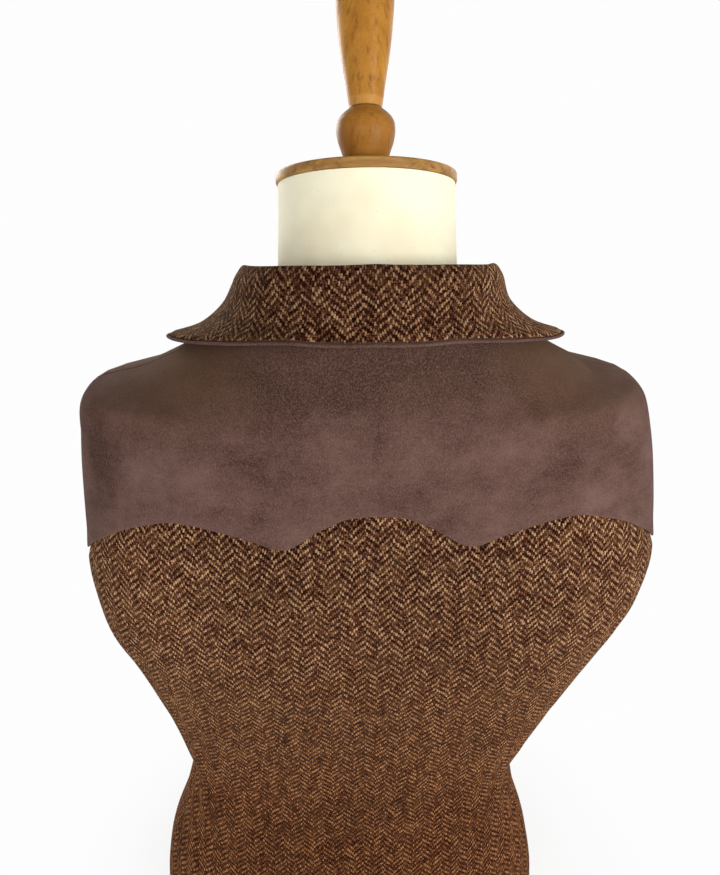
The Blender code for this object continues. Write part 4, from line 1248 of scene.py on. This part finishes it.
def stitch_tree(finish):
    """Geometry Nodes: one plump stitch on each point, laid along the point's own direction."""
    tree = bpy.data.node_groups.new("stitches", "GeometryNodeTree")
    tree.interface.new_socket("Places", in_out="INPUT", socket_type="NodeSocketGeometry")
    for name in ("Stitch Length", "Thread Radius", "Unevenness"):
        tree.interface.new_socket(name, in_out="INPUT", socket_type="NodeSocketFloat")
    tree.interface.new_socket("Seed", in_out="INPUT", socket_type="NodeSocketInt")
    tree.interface.new_socket("Sewing", in_out="OUTPUT", socket_type="NodeSocketGeometry")

    def node(kind, settings=None, sockets=None):
        made = tree.nodes.new(kind)
        for name, value in (settings or {}).items():
            setattr(made, name, value)
        for name, value in (sockets or {}).items():
            if isinstance(value, bpy.types.NodeSocket):
                tree.links.new(value, made.inputs[name])
            else:
                made.inputs[name].default_value = value
        return made

    given = tree.nodes.new("NodeGroupInput").outputs
    half = node("ShaderNodeMath", {"operation": "MULTIPLY"}, {0: given["Stitch Length"], 1: 0.5})
    sizes = node("ShaderNodeCombineXYZ", None,
                 {0: half.outputs[0], 1: given["Thread Radius"], 2: given["Thread Radius"]})
    ball = node("GeometryNodeMeshUVSphere", None, {"Segments": 7, "Rings": 6, "Radius": 1.0})
    turned = node("GeometryNodeTransform", None,
                  {"Geometry": ball.outputs["Mesh"], "Rotation": (0, math.pi / 2, 0)})
    stitch = node("GeometryNodeTransform", None, {"Geometry": turned.outputs[0], "Scale": sizes.outputs[0]})
    along = node("GeometryNodeInputNamedAttribute", {"data_type": "FLOAT_VECTOR"}, {"Name": "along"})
    laid = node("FunctionNodeAlignRotationToVector", {"axis": "X"}, {"Vector": along.outputs["Attribute"]})
    least = node("ShaderNodeMath", {"operation": "SUBTRACT"}, {0: 1.0, 1: given["Unevenness"]})
    most = node("ShaderNodeMath", {"operation": "ADD"}, {0: 1.0, 1: given["Unevenness"]})
    uneven = node("FunctionNodeRandomValue", {"data_type": "FLOAT"}, {"Seed": given["Seed"]})
    tree.links.new(least.outputs[0], uneven.inputs[2])
    tree.links.new(most.outputs[0], uneven.inputs[3])
    sewn = node("GeometryNodeInstanceOnPoints", None,
                {"Points": given["Places"], "Instance": stitch.outputs[0], "Rotation": laid.outputs[0],
                 "Scale": uneven.outputs[1]})
    real = node("GeometryNodeRealizeInstances", None, {"Geometry": sewn.outputs[0]})
    coloured = node("GeometryNodeSetMaterial", None, {"Geometry": real.outputs[0], "Material": finish})
    smooth = node("GeometryNodeSetShadeSmooth", None, {"Geometry": coloured.outputs[0]})
    tree.links.new(smooth.outputs[0], tree.nodes.new("NodeGroupOutput").inputs[0])
    return tree


def sew(kind, places, directions, tree):
    """One piece with all the stitches of a kind."""
    mesh = bpy.data.meshes.new(kind + "_places")
    mesh.from_pydata(np.asarray(places).tolist(), [], [])
    attribute = mesh.attributes.new("along", "FLOAT_VECTOR", "POINT")
    attribute.data.foreach_set("vector", np.asarray(directions, float).ravel())
    base = bpy.data.objects.new(kind + "_places", mesh)
    bpy.context.scene.collection.objects.link(base)
    modifier = base.modifiers.new("sewing", "NODES")
    modifier.node_group = tree
    values = dict(zip(("Stitch Length", "Thread Radius", "Unevenness"), STITCHES[kind]), Seed=STITCH_SEED)
    for item in tree.interface.items_tree:
        if item.in_out == "INPUT" and item.name in values:
            modifier[item.identifier] = values[item.name]
    sewn = bpy.data.meshes.new_from_object(base.evaluated_get(bpy.context.evaluated_depsgraph_get()))
    stitched = bpy.data.objects.new(kind + "_stitches", sewn)
    bpy.data.objects.remove(base)
    bpy.context.scene.collection.objects.link(stitched)
    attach(stitched, "root")


def edge_stitches():
    """Places and directions down the closed front's edge, on the tweed and on the yoke above it."""
    places, directions = [], []
    for (low, high), thickness in zip(EDGE_STITCH_ENDS, (TWEED, SUEDE)):
        for level in np.arange(low, high, EDGE_STITCH_STEP):
            turn = math.pi + (FRONT_OVERLAP - EDGE_STITCH_IN) / worn_radius(math.pi, level)
            below, middle, above = (lifted(turn, z, float(overlap_lift(turn, z)) + thickness)
                                    for z in (level - 0.001, level, level + 0.001))
            places.append(middle)
            directions.append(above - below)
    return places, directions


def button_sewing(level, turn):
    """For one button: the stitches of its hole, its strands and its shank, in places and directions."""
    cloth_face = np.array(front_place(level, 2 * TWEED + OVERLAP_GAP))
    horn_face = np.array(front_place(level, button_lift) @ Matrix.Rotation(turn, 4, "Z"))
    sideways = np.array([1.0, 0.0, 0.0])
    sideways -= cloth_face[:3, 2] * cloth_face[:3, 2].dot(sideways)
    sideways /= np.linalg.norm(sideways)
    upward = np.cross(cloth_face[:3, 2], sideways)
    upward *= np.sign(upward[2])
    round_end = 0.5 * HOLE_OPEN + 0.5 * STITCHES["buttonhole"][0]
    found = {"buttonhole": [], "button": [], "shank": []}
    straight = np.arange(HOLE_START, HOLE_END, HOLE_STITCH_STEP)
    for x in straight:
        for way in (1, -1):
            found["buttonhole"].append((sideways * x + upward * way * round_end, upward))
    for end, start in ((HOLE_END, -90), (HOLE_START, 90)):
        for a in np.radians(np.arange(start, start + 181, 22.5)):
            spoke = sideways * math.cos(a) + upward * math.sin(a)
            found["buttonhole"].append((sideways * end + spoke * round_end, spoke))
    found["buttonhole"] = [(cloth_face[:3, 3] + place, way) for place, way in found["buttonhole"]]
    hole = HOLE_OUT * math.sqrt(0.5)
    for side in (hole, -hole):
        for strand in np.linspace(-1, 1, STRANDS) * STRAND_SPREAD:
            spot = horn_face[:3, 3] + horn_face[:3, 1] * (side + strand)
            found["button"].append((spot + horn_face[:3, 2] * STRAND_HEIGHT, horn_face[:3, 0]))
    for a in np.radians((45, 135, 225, 315)):
        spot = horn_face[:3, 3] + horn_face[:3, :2] @ (SHANK_RADIUS * np.array([math.cos(a), math.sin(a)]))
        found["shank"].append((spot - horn_face[:3, 2] * 0.5 * BUTTON_SEAT, horn_face[:3, 2]))
    return found


stitches = stitch_tree(thread_finish())
sew("edge", *edge_stitches(), stitches)
sewing = {"buttonhole": [], "button": [], "shank": []}
for k, level in enumerate(button_levels):
    for kind, made in button_sewing(level, BUTTON_TURN * k).items():
        sewing[kind] += made
for kind, made in sewing.items():
    sew(kind, *zip(*made), stitches)

# The studio: a plain pale floor that runs out of sight, and soft light from all round,
# with a large soft box above and behind the camera and a weaker one at each side.
FLOOR_RADIUS = 40.0
BACKDROP = (0.985, 0.985, 0.985)
SKY_LOW = 0.72
SKY_HIGH = 0.26
LIGHTS = (
    ("key", (-1.35, 1.70, 1.05), 1.1, 37.0),
    ("back_fill", (1.30, 2.40, 1.30), 1.6, 15.0),
    ("front_key", (1.30, -2.00, 1.20), 1.4, 34.0),
    ("front_fill", (-1.50, -2.20, 1.20), 1.6, 9.0),
)
LIGHT_AIM = Vector((0.0, 0.0, 0.55))


def build_floor():
    made = bmesh.new()
    bmesh.ops.create_circle(made, cap_ends=True, segments=96, radius=FLOOR_RADIUS)
    mesh = bpy.data.meshes.new("floor")
    made.to_mesh(mesh)
    made.free()
    material = bpy.data.materials.new("pale_floor")
    material.use_nodes = True
    tree = material.node_tree
    shader = tree.nodes["Principled BSDF"]
    shader.inputs["Base Color"].default_value = (0.93, 0.93, 0.93, 1)
    shader.inputs["Roughness"].default_value = 0.9
    shader.inputs["Specular IOR Level"].default_value = 0.0
    place = Wire(tree.nodes.new("ShaderNodeTexCoord").outputs["Object"])
    far = place.node("VectorMath", {"operation": "LENGTH"}, {0: place}, "Value").ease(-0.05, 0.42)
    glow = place.node("Emission", None, {"Color": (*BACKDROP, 1), "Strength": 1.0})
    mixed = place.node("MixShader", None, {0: far, 1: Wire(shader.outputs[0]), 2: glow})
    tree.links.new(mixed.socket, tree.nodes["Material Output"].inputs["Surface"])
    mesh.materials.append(material)
    floor = bpy.data.objects.new("floor", mesh)
    bpy.context.scene.collection.objects.link(floor)


build_floor()
world = bpy.data.worlds.new("studio")
world.use_nodes = True
sky = Wire(world.node_tree.nodes.new("ShaderNodeTexCoord").outputs["Generated"])
dimmed = abs(sky.parts()[2]).ease(0.0, 0.9, SKY_LOW, SKY_HIGH)
seen = Wire(world.node_tree.nodes.new("ShaderNodeLightPath").outputs["Is Camera Ray"])
backdrop = world.node_tree.nodes["Background"]
backdrop.inputs["Color"].default_value = (*BACKDROP, 1)
world.node_tree.links.new(seen.pick(dimmed, 1.0).socket, backdrop.inputs["Strength"])
bpy.context.scene.world = world
for name, spot, size, power in LIGHTS:
    lamp = bpy.data.lights.new(name, "AREA")
    lamp.shape = "DISK"
    lamp.size = size
    lamp.energy = power
    holder = bpy.data.objects.new(name, lamp)
    holder.location = spot
    holder.rotation_mode = "QUATERNION"
    holder.rotation_quaternion = (LIGHT_AIM - Vector(spot)).to_track_quat("-Z", "Y")
    bpy.context.scene.collection.objects.link(holder)
bpy.context.scene.view_settings.view_transform = "Standard"

# The camera stands behind the vest, a little above it, and looks down on its back and collar.
CAMERA_PITCH = math.radians(26)
CAMERA_YAW = math.radians(2)
CAMERA_AWAY = 0.525
CAMERA_ASIDE = 0.0063
CAMERA_HEIGHT = 0.907
CAMERA_SPOT = (CAMERA_AWAY * math.sin(CAMERA_YAW) + AXIS_LEFT + CAMERA_ASIDE,
               CAMERA_AWAY * math.cos(CAMERA_YAW) + AXIS_BACK, CAMERA_HEIGHT)
LENS_MM = 29.62
SENSOR_MM = 36.0

lens = bpy.data.cameras.new("camera")
lens.lens = LENS_MM
lens.sensor_width = SENSOR_MM
lens.sensor_fit = "AUTO"
lens.clip_start = 0.01
camera = bpy.data.objects.new("camera", lens)
camera.location = CAMERA_SPOT
ahead = Vector((-math.sin(CAMERA_YAW) * math.cos(CAMERA_PITCH),
                -math.cos(CAMERA_YAW) * math.cos(CAMERA_PITCH), -math.sin(CAMERA_PITCH)))
camera.rotation_mode = "QUATERNION"
camera.rotation_quaternion = ahead.to_track_quat("-Z", "Y")
bpy.context.scene.collection.objects.link(camera)
bpy.context.scene.camera = camera
